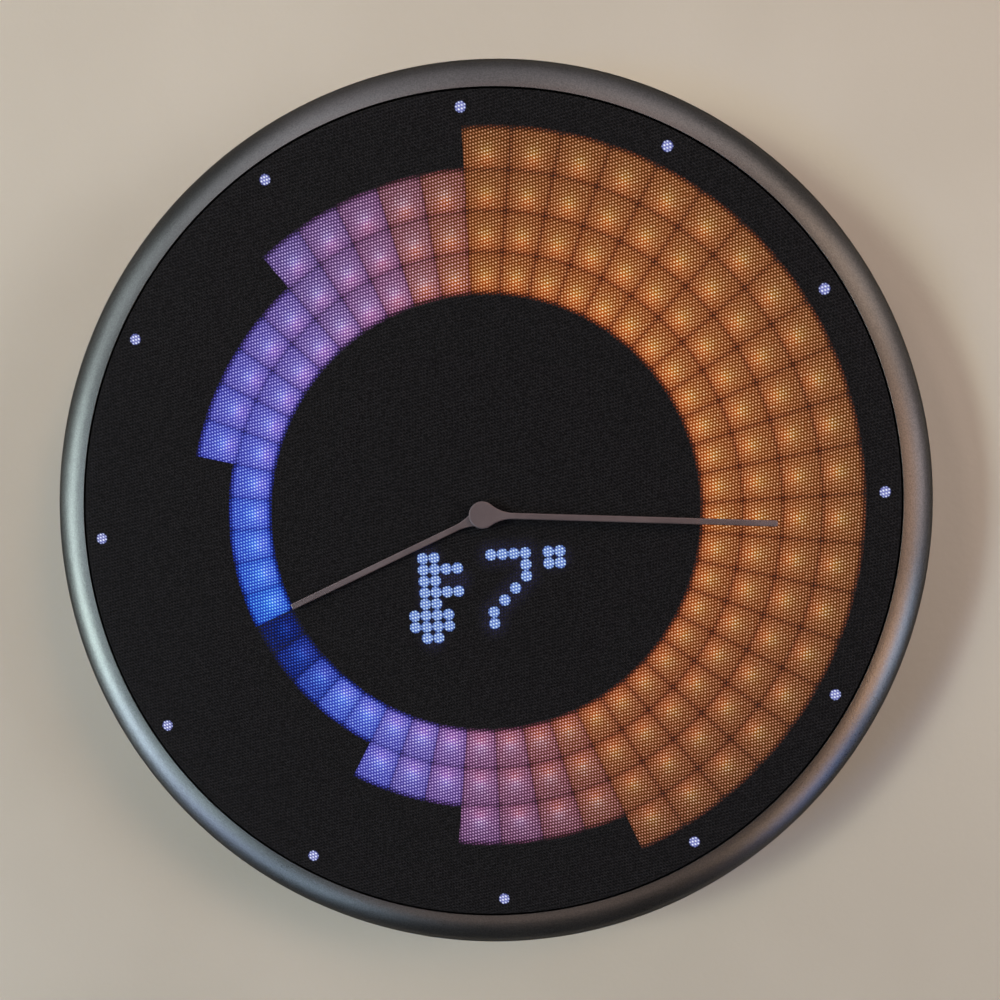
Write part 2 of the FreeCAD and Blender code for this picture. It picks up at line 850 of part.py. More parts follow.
def rotor_pinion():
    phase = mesh_phase(0.0, third_teeth, 0.0, rotor_pinion_teeth)
    pinion = gear(rotor_pinion_teeth, train_module, phase, rotor_x, third_z, 0, layer(layer_third))
    return fused(pinion, [rod(rotor_x, third_z, small_arbor_radius, arbor_low(), arbor_high())])


def rotor_magnet():
    low = layer(layer_stator) + stator_thickness / 2 - rotor_height / 2
    return tube(rotor_x, third_z, small_arbor_radius + seat_gap / 5, rotor_radius, low, low + rotor_height)


def reverser_wheel():
    phase = mesh_phase(math.pi, cannon_teeth, 0.0, reverser_teeth)
    wheel = gear(reverser_teeth, motion_module, phase, reverser_x, 0, 0, layer(layer_motion))
    pinion = gear(reverser_pinion_teeth, hour_module, 0.0, reverser_x, 0, 0, layer(layer_hour))
    return fused(wheel, [pinion, rod(reverser_x, 0, small_arbor_radius, arbor_low(), arbor_high())])


def hour_wheel():
    phase = mesh_phase(0.0, reverser_pinion_teeth, 0.0, hour_teeth)
    wheel = gear(hour_teeth, hour_module, phase, 0, 0, 0, layer(layer_hour))
    pipe = rod(0, 0, pipe_radius, layer(layer_hour), hour_hand_top)
    body = fused(wheel, [pipe])
    return body.cut(rod(0, 0, arbor_radius + running_gap, layer(layer_hour) - 1, minute_hand_top))


def movement_rear_case():
    outer = rounded(-case_left, case_right, -case_down, case_up, case_corner, movement_depth, lid_depth)
    inner = rounded(-case_left + case_wall, case_right - case_wall, -case_down + case_wall,
                    case_up - case_wall, case_corner - case_wall, movement_floor, lid_depth + 1)
    body = outer.cut(inner)
    depth = arbor_low() - running_gap
    cuts = [rod(0, 0, arbor_radius + running_gap, depth, lid_depth)]
    for x, z in ((0, third_z), (rotor_x, third_z), (reverser_x, 0)):
        cuts.append(rod(x, z, small_arbor_radius + running_gap, depth, lid_depth))
    body = fused(body, stator_posts())
    lead_x, lead_z = motor_exit()
    exit_radius = lead_radius + lead_pair_pitch / 2 + slip_gap
    cuts.append(rod_along_z(lead_x, lead_z - 1, lead_z + case_wall + 1, coil_depth(), exit_radius))
    return body.cut(cuts)


def stator_posts():
    """Two short posts that carry the stator plate inside the case."""
    reach = stator_length / 2 - stator_web
    x = rotor_x + rotor_radius + stator_gap
    return [rod(x, third_z + side * reach, stator_web - slip_gap, movement_floor, layer(layer_stator))
            for side in (-1, 1)]


def movement_front_case():
    body = rounded(-case_left, case_right, -case_down, case_up, case_corner, lid_depth, movement_front)
    adds = [rod(x, z, ear_radius, lid_depth, movement_front) for x, z in ear_places()]
    z = (case_up - case_down) / 2
    adds.append(block(-case_left - ear_reach, case_right + ear_reach, z - ear_radius / 2, z + ear_radius / 2,
                      lid_depth, movement_front))
    adds.append(rod(0, 0, spigot_radius, lid_depth, grid_front_depth - dot_pipe_sink))
    body = fused(body, adds)
    cuts = [rod(0, 0, pipe_radius + running_gap, lid_depth - 1, cloth_depth)]
    for x, z in ear_places():
        cuts.append(rod(x, z, small_screw_radius + screw_gap, lid_depth - 1, movement_front + 1))
    for x, z in ((0, third_z), (rotor_x, third_z), (reverser_x, 0)):
        cuts.append(rod(x, z, small_arbor_radius + running_gap, lid_depth - 1, arbor_high() + running_gap))
    return body.cut(cuts)


def movement_screws():
    head = lid_depth - small_screw_head_height
    tip = board_depth + small_screw_grip
    return pile([screw(x, z, head, small_screw_head_radius, small_screw_head_height, small_screw_radius, tip)
                 for x, z in ear_places()])


def coil_x():
    return rotor_x + coil_offset


def stator():
    """Flat plate round the rotor with two legs that reach the coil's core."""
    low = layer(layer_stator)
    high = low + stator_thickness
    half = rotor_radius + stator_gap + stator_web
    reach = stator_length / 2
    leg = stator_web * 2
    plate = block(rotor_x - half, rotor_x + half, third_z - reach, third_z + reach, low, high)
    legs = [block(rotor_x, coil_x() + coil_core_radius, third_z + reach - leg, third_z + reach, low, high),
            block(rotor_x, coil_x() + coil_core_radius, third_z - reach, third_z - reach + leg, low, high)]
    body = fused(plate, legs)
    return body.cut(rod(rotor_x, third_z, rotor_radius + stator_gap, low - 1, high + 1))


def rod_along_z(x, low, high, depth, radius):
    return Part.makeCylinder(radius, high - low, at(x, low, depth), Vector(0, 0, 1))


def coil_depth():
    return layer(layer_stator) - coil_core_radius


def coil_core():
    reach = stator_length / 2
    return rod_along_z(coil_x(), third_z - reach, third_z + reach, coil_depth(), coil_core_radius)


def coil_bobbin():
    bore = coil_core_radius + seat_gap
    hub = bore + coil_flange
    half = coil_length / 2
    body = rod_along_z(coil_x(), third_z - half, third_z + half, coil_depth(), hub)
    for side in (-1, 1):
        end = third_z + side * (half - coil_flange / 2)
        body = body.fuse(rod_along_z(coil_x(), end - coil_flange / 2, end + coil_flange / 2, coil_depth(), coil_radius))
    return body.removeSplitter().cut(rod_along_z(coil_x(), third_z - half - 1, third_z + half + 1, coil_depth(), bore))


def coil_winding():
    half = coil_length / 2 - coil_flange
    hub = coil_core_radius + seat_gap + coil_flange
    outer = rod_along_z(coil_x(), third_z - half, third_z + half, coil_depth(), coil_radius - slip_gap)
    return outer.cut(rod_along_z(coil_x(), third_z - half - 1, third_z + half + 1, coil_depth(), hub))


# the control board and what it carries

def control_depth():
    return floor_depth + control_rise


def control_front():
    return control_depth() + control_thickness


def port_mouth():
    return shell_radius - port_sink


def control_board():
    low = control_depth()
    high = control_front()
    body = block(-control_half_width, control_half_width, -control_bottom, -control_top, low, high)
    tongue_end = port_mouth() - port_length / 2
    tongue = block(-tongue_half_width, tongue_half_width, -tongue_end, -control_bottom + 1, low, high)
    body = fused(body, [tongue])
    return body.cut([rod(x, z, small_screw_radius + screw_gap, low - 1, high + 1) for x, z in post_places()])


def control_screws():
    head = control_front() + small_screw_head_height
    tip = floor_depth + slip_gap
    return pile([screw(x, z, head, small_screw_head_radius, small_screw_head_height, small_screw_radius, tip, -1)
                 for x, z in post_places()])


def oblong(width, height, depth, z0, z1):
    """Bar along Z with fully rounded short sides."""
    radius = height / 2
    reach = width / 2 - radius
    bar = block(-reach, reach, z0, z1, depth - radius, depth + radius)
    ends = [rod_along_z(side * reach, z0, z1, depth, radius) for side in (-1, 1)]
    return fused(bar, ends)


def port_depth():
    return control_front() + port_height / 2


def port_slot(gap):
    mouth = port_mouth()
    return oblong(port_width + 2 * gap, port_height + 2 * gap, port_depth(), -mouth - 3, -mouth + port_length + 1)


def charge_port():
    mouth = port_mouth()
    outer = oblong(port_width, port_height, port_depth(), -mouth, -mouth + port_length)
    inner = oblong(port_width - 2 * port_wall, port_height - 2 * port_wall, port_depth(),
                   -mouth - 1, -mouth + port_length - port_wall * 3)
    return outer.cut(inner)


def port_tongue():
    back = -port_mouth() + port_length - port_wall * 3
    half = port_tongue_width / 2
    reach = port_tongue_thickness / 2
    return block(-half, half, back - port_tongue_length, back, port_depth() - reach, port_depth() + reach)


def radio_board():
    x0 = -control_half_width + module_side_inset
    z0 = -control_bottom + module_foot_inset
    return block(x0, x0 + module_width, z0, z0 + module_length, control_front(), control_front() + module_board)


def radio_can():
    x0 = -control_half_width + module_side_inset + module_can_inset
    z0 = -control_bottom + module_foot_inset + module_can_inset
    low = control_front() + module_board
    x1 = x0 + module_width - 2 * module_can_inset
    z1 = z0 + module_length - 4 * module_can_inset
    return block(x0, x1, z0, z1, low, low + module_height - module_board)


def processor():
    low = control_front()
    z0 = -(control_top + control_bottom) / 2 - processor_size / 2
    return block(processor_size / 2, processor_size * 1.5, z0, z0 + processor_size, low, low + processor_height)


def ribbon_sockets():
    half = socket_width / 2
    low = control_front()
    first = block(-half, half, -control_top - socket_length - socket_inset,
                  -control_top - socket_inset, low, low + socket_height)
    top = ribbon_top()
    second = block(-half, half, top, top + socket_length, shelf_depth - socket_height, shelf_depth)
    slot_low = control_front() + socket_height / 2 - ribbon_thickness
    slot_high = shelf_depth - socket_height / 2 - ribbon_thickness
    grip = socket_length / 2
    wide = ribbon_width / 2 + seat_gap
    first = first.cut(block(-wide, wide, -control_top - socket_inset - grip, -control_top,
                            slot_low - seat_gap, slot_low + ribbon_thickness + seat_gap))
    second = second.cut(block(-wide, wide, top - 1, top + grip, slot_high - seat_gap,
                              slot_high + ribbon_thickness + seat_gap))
    return pile([first, second])


def ribbon_top():
    return -control_top + 3 * ribbon_lead + ribbon_bend


def ribbon_cable():
    """Flat cable that leaves the lower socket, bends towards the face and enters the upper one."""
    low = control_front() + socket_height / 2 - ribbon_thickness / 2
    high = shelf_depth - socket_height / 2 - ribbon_thickness / 2
    start = -control_top - socket_inset - socket_length / 2 + seat_gap
    end = ribbon_top() + socket_length / 2 - seat_gap
    middle = (-control_top + ribbon_top()) / 2
    lean = ribbon_bend / 2
    route = [(start, low), (middle - lean, low), (middle + lean, high), (end, high)]
    path = rounded_path([at(0, z, d) for z, d in route])
    half = ribbon_width / 2
    edge = ribbon_thickness / 2
    corners = [at(-half, start, low - edge), at(half, start, low - edge),
               at(half, start, low + edge), at(-half, start, low + edge)]
    section = Part.makePolygon(corners + corners[:1])
    return Part.Wire(path).makePipeShell([section], True, True)


def rounded_path(points):
    """Straight runs with tangent arcs, each as large as its two runs allow."""
    edges = []
    start = points[0]
    for before, corner, after in zip(points, points[1:], points[2:]):
        first = (before - corner).normalize()
        second = (after - corner).normalize()
        reach = 0.45 * min((before - corner).Length, (after - corner).Length)
        a = corner + first * reach
        b = corner + second * reach
        turn = math.pi - first.getAngle(second)
        radius = reach / math.tan(turn / 2)
        bisector = (first + second).normalize()
        centre = corner + bisector * math.hypot(reach, radius)
        middle = centre - bisector * radius
        edges.append(Part.LineSegment(start, a).toShape())
        edges.append(Part.Arc(a, middle, b).toShape())
        start = b
        print("bend radius", round(radius, 2))
    edges.append(Part.LineSegment(start, points[-1]).toShape())
    return edges


def wire_along(points):
    path = Part.Wire(rounded_path(points))
    direction = (points[1] - points[0]).normalize()
    section = Part.Wire(Part.Circle(points[0], direction, lead_radius).toShape())
    return path.makePipeShell([section], True, True)


def push_switch():
    half = switch_size / 2
    high = control_depth()
    low = high - switch_height
    body = block(-half, half, -button_drop - half, -button_drop + half, low, high)
    return fused(body, [rod(0, -button_drop, switch_stem_radius, low - switch_stem_height, low)])


def pairing_button():
    low = back_depth + button_sink
    flange_low = floor_depth
    stem_top = control_depth() - switch_height - switch_stem_height - button_travel - slip_gap
    body = rod(0, -button_drop, button_radius, low, flange_low + button_flange_height / 2)
    flange = rod(0, -button_drop, button_radius + button_flange, flange_low, flange_low + button_flange_height)
    stem = rod(0, -button_drop, switch_stem_radius, flange_low, max(stem_top, flange_low + button_flange_height))
    return fused(body, [flange, stem])


# the battery and the leads

def battery_cell(side):
    x0 = side * cell_offset - cell_width / 2
    low = floor_depth + pad_thickness
    return rounded(x0, x0 + cell_width, -cell_height / 2, cell_height / 2, cell_corner, low, low + cell_thickness)


def battery_pads():
    half = pad_size / 2
    pads = []
    for side in (-1, 1):
        for z in (-cell_height / 4, cell_height / 4):
            x = side * cell_offset
            pads.append(block(x - half, x + half, z - half, z + half, floor_depth, floor_depth + pad_thickness))
    return pile(pads)


def plug_places():
    x = control_half_width - post_inset - plug_width - 2
    return {"left": -x, "right": x, "motor": socket_width / 2 + plug_width - 2}


def lead_plugs():
    low = control_front()
    z1 = -control_top - socket_inset
    plugs = []
    for x in plug_places().values():
        plugs.append(block(x - plug_width / 2, x + plug_width / 2, z1 - plug_length, z1, low, low + plug_height))
    return pile(plugs)


def battery_lead(side):
    """Two wires from the bottom edge of a cell to its plug on the control board."""
    x_plug = plug_places()["left" if side < 0 else "right"]
    high = floor_depth + pad_thickness + cell_thickness / 2
    end = control_front() + plug_height / 2
    x_cell = side * (cell_offset - cell_width / 2 + 5)
    z_cell = -cell_height / 2
    z_plug = -control_top - socket_inset
    wires = []
    for pair in (-0.5, 0.5):
        shift = pair * lead_pair_pitch
        points = [at(x_cell + shift, z_cell, high),
                  at(x_cell + shift, z_cell - 6, high),
                  at((x_cell * 2 + x_plug) / 3 + shift, z_cell - 11, (high + end) / 2),
                  at(x_plug + shift, z_plug + 7, end),
                  at(x_plug + shift, z_plug, end)]
        wires.append(wire_along(points))
    return pile(wires)


def motor_exit():
    return coil_x() - coil_radius - 1, -case_down


def motor_lead():
    """Two wires from the hand drive's lower side to their plug."""
    x_exit, z_exit = motor_exit()
    x_plug = plug_places()["motor"]
    start = coil_depth()
    end = control_front() + plug_height / 2
    z_plug = -control_top - socket_inset
    wires = []
    for pair in (-0.5, 0.5):
        shift = pair * lead_pair_pitch
        points = [at(x_exit + shift, z_exit + case_wall / 2, start),
                  at(x_exit + shift, z_exit - 10, start),
                  at((x_exit + x_plug) / 2 + 2 + shift, (z_exit + z_plug) / 2, (start + end) / 2),
                  at(x_plug + shift, z_plug + 9, end),
                  at(x_plug + shift, z_plug, end)]
        wires.append(wire_along(points))
    return pile(wires)


def build():
    parts["wall_plate"] = wall_plate()
    parts["holding_magnets"] = holding_magnets()
    parts["strike_ring"] = strike_ring()
    parts["wall_bumpers"] = wall_bumpers()
    parts["rear_shell"] = rear_shell()
    parts["bezel_ring"] = bezel_ring()
    parts["case_screws"] = case_screws()
    parts["fabric_hoop"] = fabric_hoop()
    parts["front_fabric"] = front_fabric()
    parts["light_grid"] = light_grid()
    parts["light_board"] = light_board()
    parts["ring_lights"] = ring_lights()
    parts["hour_lights"] = pile([small_light(x, z) for x, z in hour_places()])
    parts["matrix_lights"] = pile([small_light(x, z) for x, z in matrix_places()])
    parts["hour_light_pipes"] = hour_light_pipes()
    parts["matrix_lens"] = matrix_lens()
    parts["driver_chips"] = driver_chips()
    parts["board_screws"] = board_screws()
    parts["ribbon_sockets"] = ribbon_sockets()
    parts["ribbon_cable"] = ribbon_cable()
    parts["control_board"] = control_board()
    parts["control_screws"] = control_screws()
    parts["charge_port"] = charge_port()
    parts["port_tongue"] = port_tongue()
    parts["radio_board"] = radio_board()
    parts["radio_can"] = radio_can()
    parts["processor"] = processor()
    parts["push_switch"] = push_switch()
    parts["pairing_button"] = pairing_button()
    parts["battery_cell_left"] = battery_cell(-1)
    parts["battery_cell_right"] = battery_cell(1)
    parts["battery_pads"] = battery_pads()
    parts["battery_lead_left"] = battery_lead(-1)
    parts["battery_lead_right"] = battery_lead(1)
    parts["lead_plugs"] = lead_plugs()
    parts["motor_lead"] = motor_lead()
    parts["movement_rear_case"] = movement_rear_case()
    parts["movement_front_case"] = movement_front_case()
    parts["movement_screws"] = movement_screws()
    parts["stator"] = stator()
    parts["coil_core"] = coil_core()
    parts["coil_bobbin"] = coil_bobbin()
    parts["coil_winding"] = coil_winding()
    parts["rotor_magnet"] = rotor_magnet()
    parts["rotor_pinion"] = rotor_pinion()
    parts["third_wheel"] = third_wheel()
    parts["minute_arbor"] = minute_arbor()
    parts["reverser_wheel"] = reverser_wheel()
    parts["hour_wheel"] = hour_wheel()
    parts["minute_hand"] = minute_hand()
    parts["hour_hand"] = hour_hand()


build()
os.makedirs("parts", exist_ok=True)
for name, shape in parts.items():
    shape.exportStep("parts/" + name + ".step")
    print(name, "solids", len(shape.Solids), "volume", round(shape.Volume, 1), "valid", shape.isValid())
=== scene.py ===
import json
import math

import bmesh
import bpy
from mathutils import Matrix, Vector


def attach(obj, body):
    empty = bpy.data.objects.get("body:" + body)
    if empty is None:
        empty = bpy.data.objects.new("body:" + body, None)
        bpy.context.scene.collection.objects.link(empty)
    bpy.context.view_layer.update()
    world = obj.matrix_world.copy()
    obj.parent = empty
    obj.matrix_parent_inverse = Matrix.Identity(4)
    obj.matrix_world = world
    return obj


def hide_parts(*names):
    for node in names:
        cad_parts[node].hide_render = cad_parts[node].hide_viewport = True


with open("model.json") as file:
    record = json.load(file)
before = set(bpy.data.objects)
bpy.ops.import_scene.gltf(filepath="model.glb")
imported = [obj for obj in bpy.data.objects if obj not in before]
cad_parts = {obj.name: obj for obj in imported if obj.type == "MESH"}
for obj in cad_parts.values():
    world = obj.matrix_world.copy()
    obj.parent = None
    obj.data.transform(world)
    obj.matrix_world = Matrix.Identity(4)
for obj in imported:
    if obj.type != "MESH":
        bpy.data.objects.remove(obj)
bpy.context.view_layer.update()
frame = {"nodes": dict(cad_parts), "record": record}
nodes = frame["nodes"]
print("frame loaded,", len(nodes), "nodes")


# camera: close, a little right of the hands' axis and below it, rolled a few degrees
cameraPlace = {
    "spot": (0.01356, -0.22462, -0.01630),
    "turn": (86.027, 3.128, 3.001),
    "lens": 29.49,
    "lift": 0.14,
}


def makeCamera(place):
    data = bpy.data.cameras.new("frontView")
    data.lens = place["lens"]
    data.shift_y = place["lift"]
    data.clip_start = 0.01
    data.clip_end = 20
    camera = bpy.data.objects.new("frontView", data)
    bpy.context.scene.collection.objects.link(camera)
    camera.location = place["spot"]
    camera.rotation_euler = [math.radians(a) for a in place["turn"]]
    bpy.context.scene.camera = camera


makeCamera(cameraPlace)
print("camera placed")


# node tree helpers: each takes numbers or sockets and gives back the socket that it made

def plug(tree, value, socket):
    if isinstance(value, bpy.types.NodeSocket):
        tree.links.new(value, socket)
    else:
        socket.default_value = value


def maths(tree, kind, *values):
    node = tree.nodes.new("ShaderNodeMath")
    node.operation = kind
    for value, socket in zip(values, node.inputs):
        plug(tree, value, socket)
    return node.outputs[0]


def vectors(tree, kind, *values):
    node = tree.nodes.new("ShaderNodeVectorMath")
    node.operation = kind
    for value, socket in zip(values, node.inputs):
        plug(tree, value, socket)
    return node.outputs["Value" if kind in ("DOT_PRODUCT", "LENGTH") else "Vector"]


def scaled(tree, vector, factor):
    node = tree.nodes.new("ShaderNodeVectorMath")
    node.operation = "SCALE"
    plug(tree, vector, node.inputs["Vector"])
    plug(tree, factor, node.inputs["Scale"])
    return node.outputs["Vector"]


def remap(tree, value, low, high, first=0.0, last=1.0):
    # goes smoothly from first to last while the value goes from low to high
    node = tree.nodes.new("ShaderNodeMapRange")
    node.interpolation_type = "SMOOTHSTEP"
    settings = {"Value": value, "From Min": low, "From Max": high, "To Min": first, "To Max": last}
    for name, item in settings.items():
        plug(tree, item, node.inputs[name])
    return node.outputs["Result"]


def blendColours(tree, share, first, second, kind="MIX"):
    node = tree.nodes.new("ShaderNodeMix")
    node.data_type = "RGBA"
    node.blend_type = kind
    for index, value in ((0, share), (6, first), (7, second)):
        if isinstance(value, tuple) and len(value) == 3:
            value = (*value, 1.0)
        plug(tree, value, node.inputs[index])
    return node.outputs[2]


def noise(tree, point, scale, detail=2.0, rough=0.5):
    node = tree.nodes.new("ShaderNodeTexNoise")
    plug(tree, point, node.inputs["Vector"])
    node.inputs["Scale"].default_value = scale
    node.inputs["Detail"].default_value = detail
    node.inputs["Roughness"].default_value = rough
    return node.outputs["Fac"]


def mottle(tree, point, scale, low=0.0, high=1.0, detail=3.0):
    return remap(tree, noise(tree, point, scale, detail), 0.3, 0.7, low, high)


def inMillimetres(tree, stretch=(1, 1, 1)):
    place = tree.nodes.new("ShaderNodeTexCoord")
    mapping = tree.nodes.new("ShaderNodeMapping")
    mapping.inputs["Scale"].default_value = [1000 * s for s in stretch]
    tree.links.new(place.outputs["Object"], mapping.inputs["Vector"])
    return mapping.outputs["Vector"]


def ramp(tree, value, stops, stepped=False):
    node = tree.nodes.new("ShaderNodeValToRGB")
    node.color_ramp.interpolation = "CONSTANT" if stepped else "LINEAR"
    elements = node.color_ramp.elements
    while len(elements) < len(stops):
        elements.new(1.0)
    for element, (place, colour) in zip(elements, stops):
        element.position = place
        element.color = (*colour, 1.0)
    plug(tree, value, node.inputs["Fac"])
    return node.outputs[0]


def splitUp(tree, vector):
    node = tree.nodes.new("ShaderNodeSeparateXYZ")
    tree.links.new(vector, node.inputs[0])
    return node.outputs


def joinUp(tree, *values):
    node = tree.nodes.new("ShaderNodeCombineXYZ")
    for value, socket in zip(values, node.inputs):
        plug(tree, value, socket)
    return node.outputs[0]


def fromAxis(tree, point):
    return vectors(tree, "LENGTH", vectors(tree, "MULTIPLY", point, (1, 0, 1)))


def squares(tree, one, other):
    return maths(tree, "ADD", maths(tree, "MULTIPLY", one, one), maths(tree, "MULTIPLY", other, other))


def newMaterial(name):
    material = bpy.data.materials.new(name)
    material.use_nodes = True
    tree = material.node_tree
    tree.nodes.clear()
    shader = tree.nodes.new("ShaderNodeBsdfPrincipled")
    out = tree.nodes.new("ShaderNodeOutputMaterial")
    tree.links.new(shader.outputs["BSDF"], out.inputs["Surface"])
    return material, tree, shader


def bump(tree, shader, height, depth, strength=1.0):
    node = tree.nodes.new("ShaderNodeBump")
    node.inputs["Distance"].default_value = depth
    node.inputs["Strength"].default_value = strength
    plug(tree, height, node.inputs["Height"])
    tree.links.new(node.outputs["Normal"], shader.inputs["Normal"])


# the light that comes through the cloth, in millimetres from the hands' axis

lightRing = {
    "columns": 48,
    "rows": 4,
    "innerRadius": 52.2,
    "rowPitch": 9.3,
    # a lamp's red, green and blue show this far from the middle of its cell, towards the axis
    "dies": (-1.65, -1.0, -1.1),
    "hotRadius": 1.5,
    "base": 0.47,
    "hot": 1.85,
    "wallFloor": 0.575,    # how far the glow drops over the grid's walls
    "wallReach": 0.9,
    "crossing": 0.7,       # and where two of them meet
    "crossingReach": 2.0,
    "edge": 0.8,           # and how softly it ends
    "fade": (-0.38, -0.14, -0.04),     # from the inner row to the outer one
    # rows that are lit, from each column on, clockwise from twelve
    "heights": [(0, 4), (21, 3), (25, 2), (28, 1), (38, 2), (43, 3)],
    # columns that glow less
    "dim": [(0, 1.0), (30, 0.42), (31, 0.14), (32, 0.05), (33, 1.0)],
    "brightness": 6.0,
    # red, green and blue at some columns, before that brightness
    "colours": [(0, (0.163, 0.038, 0.018)), (4, (0.215, 0.046, 0.021)), (12, (0.187, 0.043, 0.021)),
                (18, (0.141, 0.034, 0.020)), (20, (0.142, 0.034, 0.021)), (22, (0.120, 0.034, 0.054)),
                (24, (0.119, 0.043, 0.107)), (26, (0.072, 0.057, 0.35)), (28, (0.033, 0.058, 0.61)),
                (33, (0.010, 0.062, 0.81)), (36, (0.023, 0.057, 0.72)), (40, (0.062, 0.055, 0.41)),
                (43, (0.095, 0.053, 0.20)), (46, (0.148, 0.044, 0.07)), (47, (0.158, 0.040, 0.045))],
}

# a dot's light fades out between two shares of its radius
hourDots = {"count": 12, "ring": 94.3, "radius": 1.1, "fade": (1.28, 0.75), "colour": (1.17, 1.47, 4.1)}

dotMatrix = {
    "pitch": 2.76,
    "top": -9.4,
    "radius": 1.22,
    "fade": (1.24, 0.76),
    "colour": (0.68, 1.39, 4.7),
    # a faint glow about the strokes, whose ends and half width are columns and rows
    "halo": (0.009, 0.009, 0.027),
    "haloReach": 5.5,
    "strokeHalf": 0.3,
    "strokes": [((1.5, 0), (1.5, 7)), ((2, 2), (4, 2)),
                ((7, 0), (10, 0)), ((10, 0), (10, 2)), ((10, 2), (7, 5)), ((7, 5), (7, 6)),
                ((12.2, 0.5), (12.8, 0.5))],
    # a thermometer, a figure and a degree sign
    "rows": [".##....####.##",
             ".####.....#.##",
             ".##.......#...",
             ".####....#....",
             ".##.....#.....",
             "####...#......",
             "####...#......",
             ".##..........."],
}


def clockTurn(tree, point):
    # 0 to 1 clockwise from twelve
    parts = splitUp(tree, point)
    angle = maths(tree, "ARCTAN2", parts[0], parts[2])
    return maths(tree, "FRACT", maths(tree, "DIVIDE", angle, 2 * math.pi))


def ringGlow(tree, point, ring):
    columns, rows, pitch, inner = ring["columns"], ring["rows"], ring["rowPitch"], ring["innerRadius"]
    radius = fromAxis(tree, point)
    turn = clockTurn(tree, point)
    column = maths(tree, "FLOOR", maths(tree, "MULTIPLY", turn, columns))
    middle = maths(tree, "DIVIDE", maths(tree, "ADD", column, 0.5), columns)
    row = maths(tree, "FLOOR", maths(tree, "DIVIDE", maths(tree, "SUBTRACT", radius, inner), pitch))
    rowMiddle = maths(tree, "MULTIPLY_ADD", row, pitch, inner + pitch / 2)
    # how far a point is from the middle of its cell
    circle = maths(tree, "MULTIPLY", radius, 2 * math.pi)
    side = maths(tree, "MULTIPLY", maths(tree, "SUBTRACT", turn, middle), circle)
    rise = maths(tree, "SUBTRACT", radius, rowMiddle)

    heights = [(c / columns, (n / rows, n / rows, n / rows)) for c, n in ring["heights"]]
    height = maths(tree, "MULTIPLY", ramp(tree, middle, heights, True), rows)
    outer = maths(tree, "MULTIPLY_ADD", height, pitch, inner)
    soft = ring["edge"]
    within = remap(tree, maths(tree, "SUBTRACT", outer, radius), -soft, soft)
    lit = maths(tree, "MULTIPLY", within, remap(tree, radius, inner - soft, inner + soft))
    dims = [(c / columns, (n, n, n)) for c, n in ring["dim"]]
    level = maths(tree, "MULTIPLY", ramp(tree, middle, dims, True), lit)

    # darker over the walls between the cells
    halfWidth = maths(tree, "MULTIPLY", radius, math.pi / columns)
    sideRoom = maths(tree, "SUBTRACT", halfWidth, maths(tree, "ABSOLUTE", side))
    riseRoom = maths(tree, "SUBTRACT", pitch / 2, maths(tree, "ABSOLUTE", rise))
    reach, floor = ring["wallReach"], ring["wallFloor"]
    for room in (sideRoom, riseRoom):
        level = maths(tree, "MULTIPLY", level, remap(tree, room, 0.0, reach, floor, 1.0))
    widest = maths(tree, "MAXIMUM", sideRoom, riseRoom)
    crossing = remap(tree, widest, 0.0, ring["crossingReach"], ring["crossing"], 1.0)
    level = maths(tree, "MULTIPLY", level, crossing)

    # each die's hot spot on an even base
    spots = []
    for die in ring["dies"]:
        away = maths(tree, "SUBTRACT", rise, die)
        fall = maths(tree, "DIVIDE", squares(tree, away, side), ring["hotRadius"] ** 2)
        fall = maths(tree, "ADD", fall, 1.0)
        spots.append(maths(tree, "ADD", maths(tree, "DIVIDE", ring["hot"], fall), ring["base"]))
    stops = [((c + 0.5) / columns, colour) for c, colour in ring["colours"]]
    colour = scaled(tree, ramp(tree, middle, stops), ring["brightness"])
    colour = vectors(tree, "MULTIPLY", colour, joinUp(tree, *spots))
    outward = maths(tree, "SUBTRACT", radius, inner + rows / 2 * pitch)
    outward = maths(tree, "DIVIDE", outward, (rows - 1) * pitch)
    fade = vectors(tree, "ADD", scaled(tree, ring["fade"], outward), (1, 1, 1))
    return scaled(tree, vectors(tree, "MULTIPLY", colour, fade), level)


def dotGlow(tree, point, dots):
    turn = maths(tree, "MULTIPLY", clockTurn(tree, point), dots["count"])
    side = maths(tree, "SUBTRACT", turn, maths(tree, "ROUND", turn))
    side = maths(tree, "MULTIPLY", side, 2 * math.pi / dots["count"] * dots["ring"])
    rise = maths(tree, "SUBTRACT", fromAxis(tree, point), dots["ring"])
    away = maths(tree, "SQRT", squares(tree, side, rise))
    outside, inside = dots["fade"]
    return scaled(tree, dots["colour"], remap(tree, away, dots["radius"] * outside, dots["radius"] * inside))


